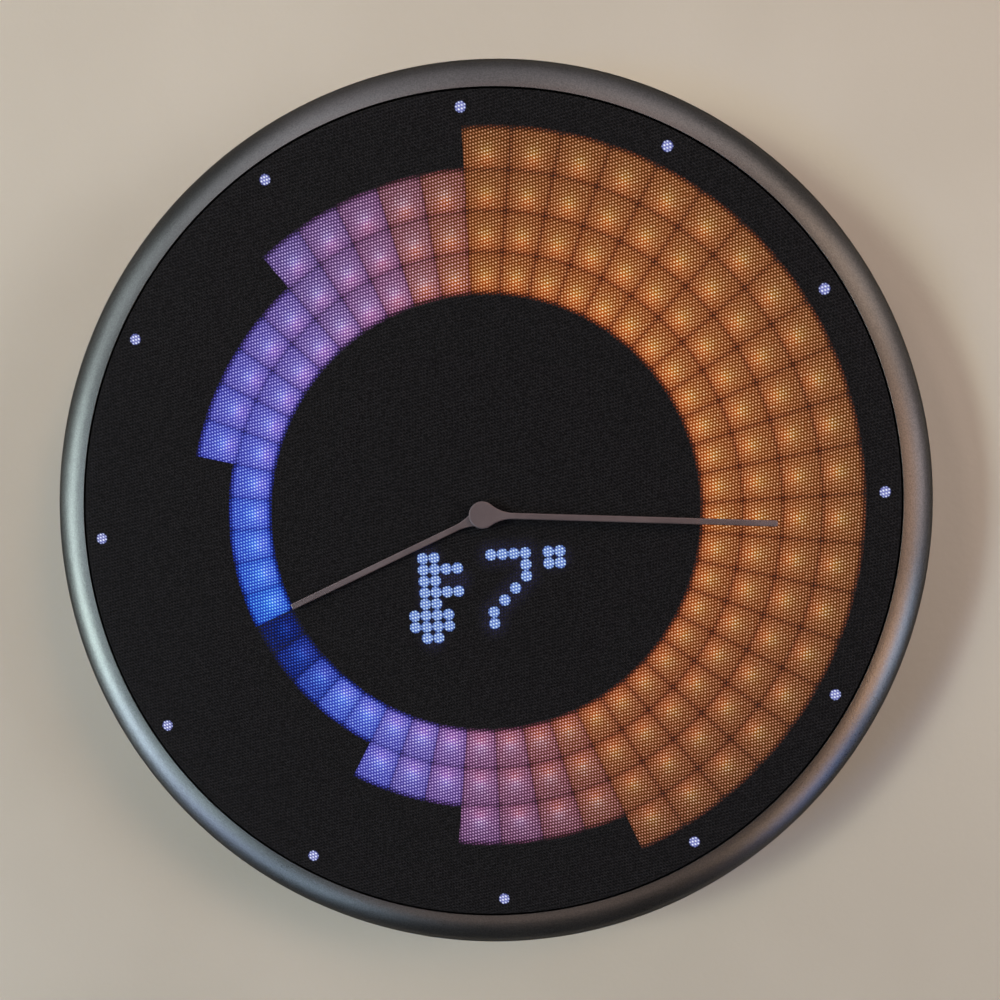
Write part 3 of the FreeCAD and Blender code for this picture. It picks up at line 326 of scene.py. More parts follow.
def matrixGlow(tree, point, matrix):
    parts = splitUp(tree, point)
    pitch, wide = matrix["pitch"], len(matrix["rows"][0])
    across = maths(tree, "ADD", maths(tree, "DIVIDE", parts[0], pitch), (wide - 1) / 2)
    down = maths(tree, "DIVIDE", maths(tree, "SUBTRACT", matrix["top"], parts[2]), pitch)
    column, row = maths(tree, "ROUND", across), maths(tree, "ROUND", down)
    # each row's lit lamps are the digits of a number in base two
    code = 0.0
    for index, line in enumerate(matrix["rows"]):
        lamps = sum(2 ** place for place, mark in enumerate(line) if mark == "#")
        here = maths(tree, "COMPARE", row, float(index), 0.25)
        code = maths(tree, "ADD", code, maths(tree, "MULTIPLY", here, float(lamps)))
    shifted = maths(tree, "DIVIDE", code, maths(tree, "POWER", 2.0, column))
    lit = maths(tree, "MODULO", maths(tree, "FLOOR", shifted), 2.0)
    within = maths(tree, "COMPARE", column, (wide - 1) / 2, wide / 2)
    side, rise = maths(tree, "SUBTRACT", across, column), maths(tree, "SUBTRACT", down, row)
    away = maths(tree, "MULTIPLY", maths(tree, "SQRT", squares(tree, side, rise)), pitch)
    outside, inside = matrix["fade"]
    disc = remap(tree, away, matrix["radius"] * outside, matrix["radius"] * inside)
    dots = scaled(tree, matrix["colour"], maths(tree, "MULTIPLY", maths(tree, "MULTIPLY", lit, within), disc))

    spot = joinUp(tree, across, down)
    nearest = 100.0    # further off than any stroke
    for first, last in matrix["strokes"]:
        along = (last[0] - first[0], last[1] - first[1], 0)
        offset = vectors(tree, "SUBTRACT", spot, (*first, 0))
        share = vectors(tree, "DOT_PRODUCT", offset, along)
        share = maths(tree, "DIVIDE", share, along[0] ** 2 + along[1] ** 2)
        share = maths(tree, "MINIMUM", maths(tree, "MAXIMUM", share, 0.0), 1.0)
        gap = vectors(tree, "LENGTH", vectors(tree, "SUBTRACT", offset, scaled(tree, along, share)))
        nearest = maths(tree, "MINIMUM", gap, nearest)
    spread = remap(tree, nearest, matrix["haloReach"] / pitch, matrix["strokeHalf"])
    return vectors(tree, "ADD", dots, scaled(tree, matrix["halo"], maths(tree, "POWER", spread, 2.0)))


# the cloth

faceCloth = {
    "radius": 0.0981,
    "hole": 0.0022,
    "front": 0.0269,
    "thickness": 0.0004,
    "skirt": 0.0074,
    "edge": 0.0002,
    "steps": 240,          # round the axis, from the hole to the edge and round the edge
    "rings": 36,
    "edgeSteps": 8,
    # three thread directions, in waves to the millimetre across x and z, with each one's share
    "waves": [((1.47, -0.09), 0.23), ((0.25, -1.29), 0.41), ((-1.22, -1.20), 0.36)],
    "wanderScale": 0.12,   # the threads don't run quite straight
    "wander": 0.5,
    "holeFrom": 0.05,
    "holeTo": 0.755,
    "threadGlow": (0.215, 0.188, 0.235),
    "blueHeld": (0.15, 0.50, 0.07),    # and less of the blue where it's a small share of the light
    "holeGlow": 2.42,
    "unevenScale": 1.3,
    "unevenness": 2.8,
    "glare": (0.009, 0.009, 0.0),      # bright light turns yellower
    "glareShares": (1, 0.5, 0.03),
    "shoulder": 0.92,      # how bright light levels off
    "threads": (0.0150, 0.0145, 0.0164),
    "gaps": (0.0052, 0.0052, 0.0060),
    "threadsUpTo": -0.45,   # of the waves' sum
    "gapsFrom": 0.3,
    "blackAt": 0.3,        # painted shade: beside this much light coming through, the threads' colour is darkened until they look black
    "blackest": 0.2,
    "fluffScale": 2.4,
    "fluff": (0.55, 1.45),
    "reliefScale": 3.5,
    "relief": 0.4,
    "reliefDepth": 0.00012,
}


def weaveOf(tree, point, cloth):
    wander = tree.nodes.new("ShaderNodeTexNoise")
    wander.inputs["Scale"].default_value = cloth["wanderScale"]
    wander.inputs["Detail"].default_value = 3.0
    tree.links.new(point, wander.inputs["Vector"])
    drift = vectors(tree, "SUBTRACT", wander.outputs["Color"], (0.5, 0.5, 0.5))
    loose = vectors(tree, "ADD", point, scaled(tree, drift, cloth["wander"]))
    weave = 0.0
    for (across, up), share in cloth["waves"]:
        wave = vectors(tree, "DOT_PRODUCT", loose, (2 * math.pi * across, 0, 2 * math.pi * up))
        weave = maths(tree, "MULTIPLY_ADD", maths(tree, "COSINE", wave), share, weave)
    return weave


def throughCloth(tree, point, weave, glow, cloth):
    # the lamps' light, after the threads and the holes between them
    hole = remap(tree, weave, cloth["holeFrom"], cloth["holeTo"])
    patchy = maths(tree, "SUBTRACT", noise(tree, point, cloth["unevenScale"], 1.0), 0.5)
    uneven = maths(tree, "EXPONENT", maths(tree, "MULTIPLY", patchy, cloth["unevenness"]))
    holes = maths(tree, "MULTIPLY", maths(tree, "MULTIPLY", hole, uneven), cloth["holeGlow"])
    parts = splitUp(tree, glow)
    most = maths(tree, "ADD", maths(tree, "ADD", parts[0], parts[2]), 0.0001)
    low, high, least = cloth["blueHeld"]
    held = remap(tree, maths(tree, "DIVIDE", parts[2], most), low, high, least, 1.0)
    red, green, blue = cloth["threadGlow"]
    threads = joinUp(tree, red, green, maths(tree, "MULTIPLY", held, blue))
    glow = vectors(tree, "MULTIPLY", glow, vectors(tree, "ADD", threads, holes))
    bright = vectors(tree, "DOT_PRODUCT", vectors(tree, "MULTIPLY", glow, cloth["glareShares"]), glow)
    glow = vectors(tree, "ADD", glow, scaled(tree, cloth["glare"], bright))
    levelled = vectors(tree, "ADD", scaled(tree, glow, cloth["shoulder"]), (1, 1, 1))
    return vectors(tree, "DIVIDE", glow, levelled)


def clothMaterial(cloth):
    material, tree, shader = newMaterial("stretchedCloth")
    point = inMillimetres(tree)
    weave = weaveOf(tree, point, cloth)
    glow = vectors(tree, "ADD", ringGlow(tree, point, lightRing), dotGlow(tree, point, hourDots))
    glow = vectors(tree, "ADD", glow, matrixGlow(tree, point, dotMatrix))
    tree.links.new(throughCloth(tree, point, weave, glow, cloth), shader.inputs["Emission Color"])
    shader.inputs["Emission Strength"].default_value = 1.0

    light = vectors(tree, "DOT_PRODUCT", glow, (1, 1, 1))
    # painted shade: the threads' own colour darkens where light comes through behind them
    shaded = remap(tree, light, 0.0, cloth["blackAt"], 1.0, cloth["blackest"])
    height = remap(tree, weave, cloth["threadsUpTo"], cloth["gapsFrom"])
    tone = scaled(tree, blendColours(tree, height, cloth["threads"], cloth["gaps"]), shaded)
    fluff = mottle(tree, point, cloth["fluffScale"], *cloth["fluff"])
    tree.links.new(scaled(tree, tone, fluff), shader.inputs["Base Color"])
    shader.inputs["Roughness"].default_value = 0.85
    shader.inputs["Specular IOR Level"].default_value = 0.06
    shader.inputs["Sheen Weight"].default_value = 0.03
    shader.inputs["Sheen Roughness"].default_value = 0.5
    sunk = maths(tree, "MULTIPLY", weave, -cloth["relief"])
    fuzz = noise(tree, point, cloth["reliefScale"], 2.0)
    bump(tree, shader, maths(tree, "MULTIPLY_ADD", fuzz, cloth["relief"], sunk), cloth["reliefDepth"], 0.6)
    return material


def lathe(name, outline, steps, material, crease=40):
    # a closed outline of (radius, depth) points turned once round the hands' axis
    rings = len(outline)
    points, faces = [], []
    for step in range(steps):
        turn = 2 * math.pi * step / steps
        points += [(r * math.sin(turn), -depth, r * math.cos(turn)) for r, depth in outline]
    for step in range(steps):
        here, there = step * rings, (step + 1) % steps * rings
        for index in range(rings):
            after = (index + 1) % rings
            faces.append((here + index, here + after, there + after, there + index))
    mesh = bpy.data.meshes.new(name)
    mesh.from_pydata(points, [], faces)
    work = bmesh.new()
    work.from_mesh(mesh)
    bmesh.ops.recalc_face_normals(work, faces=work.faces)
    work.to_mesh(mesh)
    work.free()
    mesh.polygons.foreach_set("use_smooth", [True] * len(mesh.polygons))
    mesh.set_sharp_from_angle(angle=math.radians(crease))
    mesh.materials.append(material)
    piece = bpy.data.objects.new(name, mesh)
    bpy.context.scene.collection.objects.link(piece)
    return piece


def bend(centre, radius, start, end, steps):
    # angles in degrees from straight out, towards the viewer
    turns = [math.radians(start + (end - start) * i / steps) for i in range(steps + 1)]
    return [(centre[0] + radius * math.cos(a), centre[1] + radius * math.sin(a)) for a in turns]


def makeCloth(cloth):
    front, wall, edge = cloth["front"], cloth["thickness"], cloth["edge"]
    centre = (cloth["radius"] - edge, front - edge)
    rings = cloth["rings"]
    spread = [cloth["hole"] + (centre[0] - cloth["hole"]) * i / rings for i in range(rings)]
    outline = [(r, front) for r in spread]
    outline += bend(centre, edge, 90, 0, cloth["edgeSteps"])
    outline.append((cloth["radius"], front - cloth["skirt"]))
    outline.append((cloth["radius"] - wall, front - cloth["skirt"]))
    outline.append((cloth["radius"] - wall, front - wall))
    outline += [(r, front - wall) for r in reversed(spread)]
    piece = lathe("faceCloth", outline, cloth["steps"], clothMaterial(cloth))
    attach(piece, "clock_body")
    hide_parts("front_fabric")


makeCloth(faceCloth)
print("cloth made")


# metal, plastic and the other finishes

def finish(name, colour, second=None, metal=0.0, rough=(0.4, 0.6), grain=3.0, grainDepth=0.00002,
           strength=0.4, blotch=0.05, stretch=(1, 1, 1), sheen=0.0, level=0.5, shade=0.12, through=0.0,
           edge=1.0, fleck=None):
    # grain and blotch are the fine and the wide pattern's scale, shade and fleck how far they darken
    material, tree, shader = newMaterial(name)
    point = inMillimetres(tree, stretch)
    fine = noise(tree, point, grain, 3.0, 0.6)
    wide = noise(tree, point, blotch, 4.0, 0.55)
    darker = tuple(c * (1 - shade) for c in colour)
    lighter = second or tuple(min(c * (1 + shade), 1.0) for c in colour)
    tone = blendColours(tree, remap(tree, wide, 0.3, 0.7), darker, lighter)
    spread = shade if fleck is None else fleck
    speck = remap(tree, fine, 0.25, 0.75, 1 - spread, 1 + spread)
    tree.links.new(scaled(tree, tone, speck), shader.inputs["Base Color"])
    worn = maths(tree, "MULTIPLY_ADD", fine, 0.5, maths(tree, "MULTIPLY", wide, 0.5))
    tree.links.new(remap(tree, worn, 0.3, 0.7, *rough), shader.inputs["Roughness"])
    shader.inputs["Metallic"].default_value = metal
    shader.inputs["Specular IOR Level"].default_value = level
    shader.inputs["Specular Tint"].default_value = (edge, edge, edge, 1.0)
    shader.inputs["Sheen Weight"].default_value = sheen
    shader.inputs["Transmission Weight"].default_value = through
    bump(tree, shader, fine, grainDepth, strength)
    return material


finishes = {
    "rim_metal": {"colour": (0.150, 0.150, 0.150), "metal": 1.0, "rough": (0.27, 0.33), "grain": 2.6,
                  "grainDepth": 0.00004, "strength": 0.9, "blotch": 0.02, "shade": 0.09, "edge": 0.25,
                  "fleck": 0.2},
    "hand_metal": {"colour": (0.201, 0.160, 0.169), "metal": 0.7, "rough": (0.42, 0.55), "grain": 9.0,
                   "grainDepth": 0.000006, "strength": 0.3, "blotch": 0.15, "shade": 0.08},
    "shell_plastic": {"colour": (0.052, 0.051, 0.050), "rough": (0.5, 0.68), "grain": 5.0,
                      "grainDepth": 0.00003, "strength": 0.6, "blotch": 0.03},
    "black_plastic": {"colour": (0.014, 0.014, 0.015), "rough": (0.4, 0.6), "grain": 3.0},
    "plated_metal": {"colour": (0.60, 0.59, 0.56), "metal": 1.0, "rough": (0.12, 0.26), "grain": 2.0,
                     "grainDepth": 0.000004, "shade": 0.05},
    "plain_steel": {"colour": (0.43, 0.43, 0.44), "metal": 1.0, "rough": (0.26, 0.42), "grain": 2.5,
                    "stretch": (0.08, 1, 3), "grainDepth": 0.000006, "shade": 0.08},
    "dark_screw": {"colour": (0.06, 0.06, 0.062), "metal": 1.0, "rough": (0.28, 0.45), "grain": 6.0,
                   "shade": 0.15},
    "soft_rubber": {"colour": (0.026, 0.026, 0.027), "rough": (0.72, 0.88), "grain": 4.0,
                    "grainDepth": 0.00003, "level": 0.3, "sheen": 0.1},
    "light_resin": {"colour": (0.85, 0.84, 0.74), "second": (0.90, 0.80, 0.35), "rough": (0.15, 0.3),
                    "blotch": 0.5},
    "lens_resin": {"colour": (0.80, 0.83, 0.86), "rough": (0.2, 0.35), "through": 0.3},
    "chip_resin": {"colour": (0.022, 0.022, 0.023), "rough": (0.45, 0.6), "grain": 8.0},
    "socket_plastic": {"colour": (0.62, 0.59, 0.50), "rough": (0.4, 0.55), "grain": 3.0},
    "button_plastic": {"colour": (0.055, 0.055, 0.057), "rough": (0.45, 0.6), "grain": 6.0},
    "cell_wrap": {"colour": (0.50, 0.51, 0.53), "metal": 0.7, "rough": (0.22, 0.38), "grain": 0.5,
                  "grainDepth": 0.00006, "blotch": 0.1},
    "lead_jacket": {"colour": (0.05, 0.05, 0.052), "rough": (0.45, 0.6), "grain": 5.0},
    "drive_plastic": {"colour": (0.040, 0.040, 0.043), "rough": (0.45, 0.6), "grain": 4.0},
    "gear_plastic": {"colour": (0.80, 0.78, 0.72), "rough": (0.35, 0.5), "grain": 3.0, "shade": 0.05},
    "gear_brass": {"colour": (0.66, 0.47, 0.20), "metal": 1.0, "rough": (0.22, 0.36), "grain": 5.0,
                   "shade": 0.08},
}


boardLook = {
    "scale": 0.35,
    "trackGap": 0.09,
    "trackLength": 1.7,
    "trackWidth": 0.45,
    "mask": (0.010, 0.040, 0.026),
    "overCopper": (0.020, 0.085, 0.050),
    "rough": (0.22, 0.36),
}


def boardMaterial(board):
    # solder mask with copper tracks under it
    material, tree, shader = newMaterial("boardLaminate")
    point = inMillimetres(tree)
    tracks = tree.nodes.new("ShaderNodeTexBrick")
    tracks.inputs["Scale"].default_value = board["scale"]
    tracks.inputs["Mortar Size"].default_value = board["trackGap"]
    tracks.inputs["Brick Width"].default_value = board["trackLength"]
    tracks.inputs["Row Height"].default_value = board["trackWidth"]
    spun = tree.nodes.new("ShaderNodeMapping")
    spun.inputs["Rotation"].default_value = (math.radians(90), 0, 0)
    tree.links.new(point, spun.inputs["Vector"])
    tree.links.new(spun.outputs[0], tracks.inputs["Vector"])
    tone = blendColours(tree, tracks.outputs["Fac"], board["mask"], board["overCopper"])
    speck = mottle(tree, point, 4.0, 0.85, 1.15)
    tree.links.new(scaled(tree, tone, speck), shader.inputs["Base Color"])
    tree.links.new(mottle(tree, point, 0.3, *board["rough"]), shader.inputs["Roughness"])
    bump(tree, shader, tracks.outputs["Fac"], 0.00003, 0.5)
    return material


# fine wires or printed lines side by side, at a pitch in millimetres
windings = {
    "copper_wire": {"dark": (0.25, 0.08, 0.03), "light": (0.70, 0.32, 0.15), "pitch": 0.12, "metal": 1.0,
                    "rough": 0.25, "axis": "Z"},
    "ribbon_film": {"dark": (0.42, 0.36, 0.24), "light": (0.78, 0.76, 0.72), "pitch": 0.5, "metal": 0.0,
                    "rough": 0.3, "axis": "X"},
}
bandScale = 0.314    # the wave texture's scale for one band to the millimetre


def woundMaterial(name, dark, light, pitch, metal, rough, axis):
    material, tree, shader = newMaterial(name)
    point = inMillimetres(tree)
    wires = tree.nodes.new("ShaderNodeTexWave")
    wires.bands_direction = axis
    wires.inputs["Scale"].default_value = bandScale / pitch
    wires.inputs["Distortion"].default_value = 0.4
    wires.inputs["Detail"].default_value = 2.0
    tree.links.new(point, wires.inputs["Vector"])
    tree.links.new(blendColours(tree, wires.outputs["Fac"], dark, light), shader.inputs["Base Color"])
    worn = mottle(tree, point, 1.5, rough, rough + 0.15, 2.0)
    tree.links.new(worn, shader.inputs["Roughness"])
    shader.inputs["Metallic"].default_value = metal
    bump(tree, shader, wires.outputs["Fac"], pitch * 0.0003, 0.8)
    return material


materials = {slot: finish(slot, **look) for slot, look in finishes.items()}
materials["board_laminate"] = boardMaterial(boardLook)
materials.update({slot: woundMaterial(slot, **look) for slot, look in windings.items()})
slotOf = {part["node"]: part["material_slot"] for part in frame["record"]["subparts"]}
for node, slot in slotOf.items():
    if slot in materials:
        nodes[node].data.materials.clear()
        nodes[node].data.materials.append(materials[slot])
print("finishes given to", len(slotOf), "nodes")


# the rim, turned from one outline

rimRing = {
    "lip": 0.0985,
    "lipBevel": 0.00001,
    "lipDepth": 0.0270,
    "shelfIn": 0.0880,
    "shelf": 0.0184,
    "parting": 0.0158,
    "crown": 0.0160,
    "crownTurn": 60,
    "nose": 0.0045,
    "widest": 0.1074,
    "tuckTurn": 50,
    "tailStep": 0.0012,
    "steps": 288,
    "crownSteps": 14,
    "noseSteps": 26,
}


def makeRim(rim):
    turn = math.radians(rim["crownTurn"])
    noseOut = rim["widest"] - rim["nose"]
    crownOut = noseOut - (rim["crown"] - rim["nose"]) * math.cos(turn)
    reach = rim["lip"] + rim["lipBevel"] - crownOut
    crownDeep = rim["lipDepth"] - math.sqrt(rim["crown"] ** 2 - reach ** 2)
    noseDeep = crownDeep + (rim["crown"] - rim["nose"]) * math.sin(turn)
    start = math.degrees(math.asin((rim["lipDepth"] - crownDeep) / rim["crown"]))
    outline = [(rim["shelfIn"], rim["parting"]), (rim["shelfIn"], rim["shelf"]), (rim["lip"], rim["shelf"])]
    outline.append((rim["lip"], rim["lipDepth"] - rim["lipBevel"]))
    outline += bend((crownOut, crownDeep), rim["crown"], start, rim["crownTurn"], rim["crownSteps"])
    nose = bend((noseOut, noseDeep), rim["nose"], rim["crownTurn"], -rim["tuckTurn"], rim["noseSteps"])
    outline += nose[1:]
    outline.append((outline[-1][0] - rim["tailStep"], rim["parting"]))
    piece = lathe("rimRing", outline, rim["steps"], materials["rim_metal"])
    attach(piece, "clock_body")
    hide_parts("bezel_ring")


makeRim(rimRing)
print("rim made")


# hands, shell, plate and feet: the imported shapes, merged and shaded smooth

# node, name, body, crease angle and how far the edges are rounded
smoothed = [
    ("minute_hand", "minuteHand", "minute_set", 35, 0.00016),
    ("hour_hand", "hourHand", "hour_set", 35, 0.00012),
    ("rear_shell", "rearShell", "clock_body", 32, 0.0),
    ("wall_plate", "wallPlate", "wall_mount", 32, 0.0),
    ("wall_bumpers", "wallFeet", "clock_body", 32, 0.0),
    ("pairing_button", "pairingKnob", "pairing_set", 32, 0.0),
]


mergeReach = 0.000001
flatAngle = 0.1


def smoothCopy(node, name, body, angle, rounding):
    source = nodes[node].data
    mesh = bpy.data.meshes.new(name)
    mesh.from_pydata([v.co[:] for v in source.vertices], [], [p.vertices[:] for p in source.polygons])
    work = bmesh.new()
    work.from_mesh(mesh)
    bmesh.ops.remove_doubles(work, verts=work.verts, dist=mergeReach)
    bmesh.ops.dissolve_limit(work, angle_limit=math.radians(flatAngle), verts=work.verts, edges=work.edges)
    bmesh.ops.recalc_face_normals(work, faces=work.faces)
    work.to_mesh(mesh)
    work.free()
    mesh.polygons.foreach_set("use_smooth", [True] * len(mesh.polygons))
    mesh.set_sharp_from_angle(angle=math.radians(angle))
    mesh.materials.append(materials[slotOf[node]])
    piece = bpy.data.objects.new(name, mesh)
    bpy.context.scene.collection.objects.link(piece)
    if rounding:
        edges = piece.modifiers.new("softEdges", "BEVEL")
        edges.width = rounding
        edges.segments = 2
        edges.angle_limit = math.radians(angle)
        edges.use_clamp_overlap = False
    weighted = piece.modifiers.new("evenNormals", "WEIGHTED_NORMAL")
    weighted.keep_sharp = True
    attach(piece, body)
    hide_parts(node)


for entry in smoothed:
    smoothCopy(*entry)
print("smooth copies made")


# lamps of the ring, repeated by geometry nodes

lampPackage = {
    "columns": 48,
    "rows": 4,
    "innerRadius": 0.0522,
    "rowPitch": 0.0093,
    "depth": 0.0200,
    "height": 0.0008,
    "side": 0.0020,
    "window": 0.00075,
}
# the block and the round window on it, as shares of the lamp's height
blockShare = 0.9
windowShare = 0.2
windowSides = 8


def addInput(tree, name, kind, value):
    socket = tree.interface.new_socket(name=name, in_out="INPUT", socket_type=kind)
    socket.default_value = value
    return socket.identifier


def makeLamps(lamp, material):
    tree = bpy.data.node_groups.new("ringOfLamps", "GeometryNodeTree")
    tree.interface.new_socket(name="Geometry", in_out="INPUT", socket_type="NodeSocketGeometry")
    tree.interface.new_socket(name="Geometry", in_out="OUTPUT", socket_type="NodeSocketGeometry")
    names = {
        "Columns": ("NodeSocketInt", lamp["columns"]),
        "Rows": ("NodeSocketInt", lamp["rows"]),
        "Inner radius": ("NodeSocketFloat", lamp["innerRadius"]),
        "Row pitch": ("NodeSocketFloat", lamp["rowPitch"]),
        "Depth": ("NodeSocketFloat", lamp["depth"]),
        "Height": ("NodeSocketFloat", lamp["height"]),
        "Side": ("NodeSocketFloat", lamp["side"]),
        "Window": ("NodeSocketFloat", lamp["window"]),
    }
    found = {name: addInput(tree, name, kind, value) for name, (kind, value) in names.items()}
    new = tree.nodes.new
    given = new("NodeGroupInput").outputs
    count = maths(tree, "MULTIPLY", given["Columns"], given["Rows"])
    lineUp = new("GeometryNodeMeshLine")
    tree.links.new(count, lineUp.inputs["Count"])
    index = new("GeometryNodeInputIndex").outputs[0]
    row = maths(tree, "FLOOR", maths(tree, "DIVIDE", index, given["Columns"]))
    share = maths(tree, "DIVIDE", maths(tree, "ADD", index, 0.5), given["Columns"])
    turn = maths(tree, "MULTIPLY", share, 2 * math.pi)
    middle = maths(tree, "ADD", row, 0.5)
    radius = maths(tree, "MULTIPLY_ADD", middle, given["Row pitch"], given["Inner radius"])
    right = maths(tree, "MULTIPLY", radius, maths(tree, "SINE", turn))
    up = maths(tree, "MULTIPLY", radius, maths(tree, "COSINE", turn))
    place = new("GeometryNodeSetPosition")
    tree.links.new(lineUp.outputs[0], place.inputs["Geometry"])
    front = maths(tree, "MULTIPLY", given["Depth"], -1.0)
    tree.links.new(joinUp(tree, right, front, up), place.inputs["Position"])

    block = new("GeometryNodeMeshCube")
    thick = maths(tree, "MULTIPLY", given["Height"], blockShare)
    tree.links.new(joinUp(tree, given["Side"], thick, given["Side"]), block.inputs["Size"])
    window = new("GeometryNodeMeshCylinder")
    window.inputs["Vertices"].default_value = windowSides
    tree.links.new(given["Window"], window.inputs["Radius"])
    tree.links.new(maths(tree, "MULTIPLY", given["Height"], windowShare), window.inputs["Depth"])
    stand = new("GeometryNodeTransform")
    tree.links.new(window.outputs["Mesh"], stand.inputs["Geometry"])
    stand.inputs["Rotation"].default_value = (math.radians(90), 0, 0)
    raised = joinUp(tree, 0.0, maths(tree, "MULTIPLY", given["Height"], -blockShare / 2), 0.0)
    tree.links.new(raised, stand.inputs["Translation"])
    both = new("GeometryNodeJoinGeometry")
    tree.links.new(block.outputs["Mesh"], both.inputs[0])
    tree.links.new(stand.outputs[0], both.inputs[0])
    seat = new("GeometryNodeTransform")
    tree.links.new(both.outputs[0], seat.inputs["Geometry"])
    tree.links.new(raised, seat.inputs["Translation"])

    copies = new("GeometryNodeInstanceOnPoints")
    tree.links.new(place.outputs[0], copies.inputs["Points"])
    tree.links.new(seat.outputs[0], copies.inputs["Instance"])
    tree.links.new(joinUp(tree, 0.0, turn, 0.0), copies.inputs["Rotation"])
    real = new("GeometryNodeRealizeInstances")
    tree.links.new(copies.outputs[0], real.inputs[0])
    paint = new("GeometryNodeSetMaterial")
    paint.inputs["Material"].default_value = material
    tree.links.new(real.outputs[0], paint.inputs["Geometry"])
    tree.links.new(paint.outputs[0], new("NodeGroupOutput").inputs[0])

    holder = bpy.data.objects.new("lampHolder", bpy.data.meshes.new("lampHolder"))
    bpy.context.scene.collection.objects.link(holder)
    modifier = holder.modifiers.new("lamps", "NODES")
    modifier.node_group = tree
    for name, (kind, value) in names.items():
        modifier[found[name]] = value
    bpy.context.view_layer.update()
    mesh = bpy.data.meshes.new_from_object(holder.evaluated_get(bpy.context.evaluated_depsgraph_get()))
    bpy.data.objects.remove(holder)
    piece = bpy.data.objects.new("ringLamps", mesh)
    bpy.context.scene.collection.objects.link(piece)
    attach(piece, "clock_body")
    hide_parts("ring_lights")


lampLook = {"glow": 1.3, "dull": (0.75, 0.74, 0.66), "pale": (0.88, 0.87, 0.80), "rough": (0.2, 0.35)}


def lampMaterial(look):
    material, tree, shader = newMaterial("lampResin")
    point = inMillimetres(tree)
    glow = scaled(tree, ringGlow(tree, point, lightRing), look["glow"])
    tree.links.new(glow, shader.inputs["Emission Color"])
    shader.inputs["Emission Strength"].default_value = 1.0
    tone = blendColours(tree, mottle(tree, point, 2.0), look["dull"], look["pale"])
    tree.links.new(tone, shader.inputs["Base Color"])
    tree.links.new(mottle(tree, point, 5.0, *look["rough"], 2.0), shader.inputs["Roughness"])
    return material


makeLamps(lampPackage, lampMaterial(lampLook))
print("ring lamps made")


# the wall that the clock hangs on

wallLook = {
    "size": 6.0,
    "gap": 0.0003,
    "pale": (0.60, 0.555, 0.485),
    "paler": (0.64, 0.595, 0.525),
    # painted light: the wall's colour is a little brighter to one side than to the other, across this many
    # millimetres
    "paintedLightSlope": (0.35, 0, 0.94),
    "reach": 200.0,
    "spread": (0.93, 1.07),
}


def makeWall(wall):
    material, tree, shader = newMaterial("paintedWall")
    point = inMillimetres(tree)
    tone = blendColours(tree, mottle(tree, point, 0.012), wall["pale"], wall["paler"])
    # painted light: the colour brightens towards the top and a little to the right, and darkens the other way
    paintedLightSlope = vectors(tree, "DOT_PRODUCT", point, wall["paintedLightSlope"])
    paintedLightSlope = remap(tree, paintedLightSlope, -wall["reach"], wall["reach"], *wall["spread"])
    tree.links.new(scaled(tree, tone, paintedLightSlope), shader.inputs["Base Color"])
    shader.inputs["Roughness"].default_value = 0.9
    shader.inputs["Specular IOR Level"].default_value = 0.15
    bump(tree, shader, noise(tree, point, 0.35, 3.0), 0.00025, 0.35)
    # open from behind, so that the clock's back can be seen and lit there
    clear = tree.nodes.new("ShaderNodeBsdfTransparent")
    mix = tree.nodes.new("ShaderNodeMixShader")
    path = tree.nodes.new("ShaderNodeLightPath")
    behind = tree.nodes.new("ShaderNodeNewGeometry")
    away = maths(tree, "MAXIMUM", behind.outputs["Backfacing"], path.outputs["Is Shadow Ray"])
    tree.links.new(away, mix.inputs[0])
    tree.links.new(shader.outputs[0], mix.inputs[1])
    tree.links.new(clear.outputs[0], mix.inputs[2])
    out = [n for n in tree.nodes if n.type == "OUTPUT_MATERIAL"][0]
    tree.links.new(mix.outputs[0], out.inputs["Surface"])
    half = wall["size"] / 2
    mesh = bpy.data.meshes.new("backWall")
    corners = [(x * half, wall["gap"], z * half) for x, z in ((-1, -1), (1, -1), (1, 1), (-1, 1))]
    mesh.from_pydata(corners, [], [(0, 1, 2, 3)])
    mesh.materials.append(material)
    piece = bpy.data.objects.new("backWall", mesh)
    bpy.context.scene.collection.objects.link(piece)


makeWall(wallLook)
print("wall made")


# light: a window on the left, a warm room on the right, and the rest of the room all round

# each lamp's place is its azimuth from straight in front, to the right, and its elevation, in degrees;
# these light the wall and everything else that is matte
mattLamps = {
    "window": {"place": (-44, 2), "size": (0.14, 0.35), "power": 6.3, "colour": (0.92, 1.0, 0.87)},
    "windowSide": {"place": (-52, 2), "size": (0.14, 0.35), "power": 1.5, "colour": (1.0, 0.84, 0.61)},
    "windowLow": {"place": (-45, -14), "size": (0.16, 0.30), "power": 2.8, "colour": (0.26, 0.52, 1.0)},
    "windowHigh": {"place": (-36, 16), "size": (0.12, 0.30), "power": 1.4, "colour": (1.0, 0.78, 0.66)},
    "doorway": {"place": (60, 0), "size": (0.30, 0.60), "power": 4.9, "colour": (0.98, 0.98, 1.0)},
    "roomHigh": {"place": (40, 22), "size": (0.30, 0.50), "power": 3.5, "colour": (1.0, 0.61, 0.35)},
    "ceiling": {"place": (0, 50), "size": (0.80, 0.40), "power": 1.1, "colour": (1.0, 0.68, 0.76)},
    "behindLeft": {"place": (-149, 30), "size": (0.80, 0.80), "power": 9.0, "colour": (1.0, 0.98, 0.95)},
    "behindRight": {"place": (135, -5), "size": (0.60, 0.80), "power": 5.0, "colour": (0.95, 0.97, 1.0)},
}

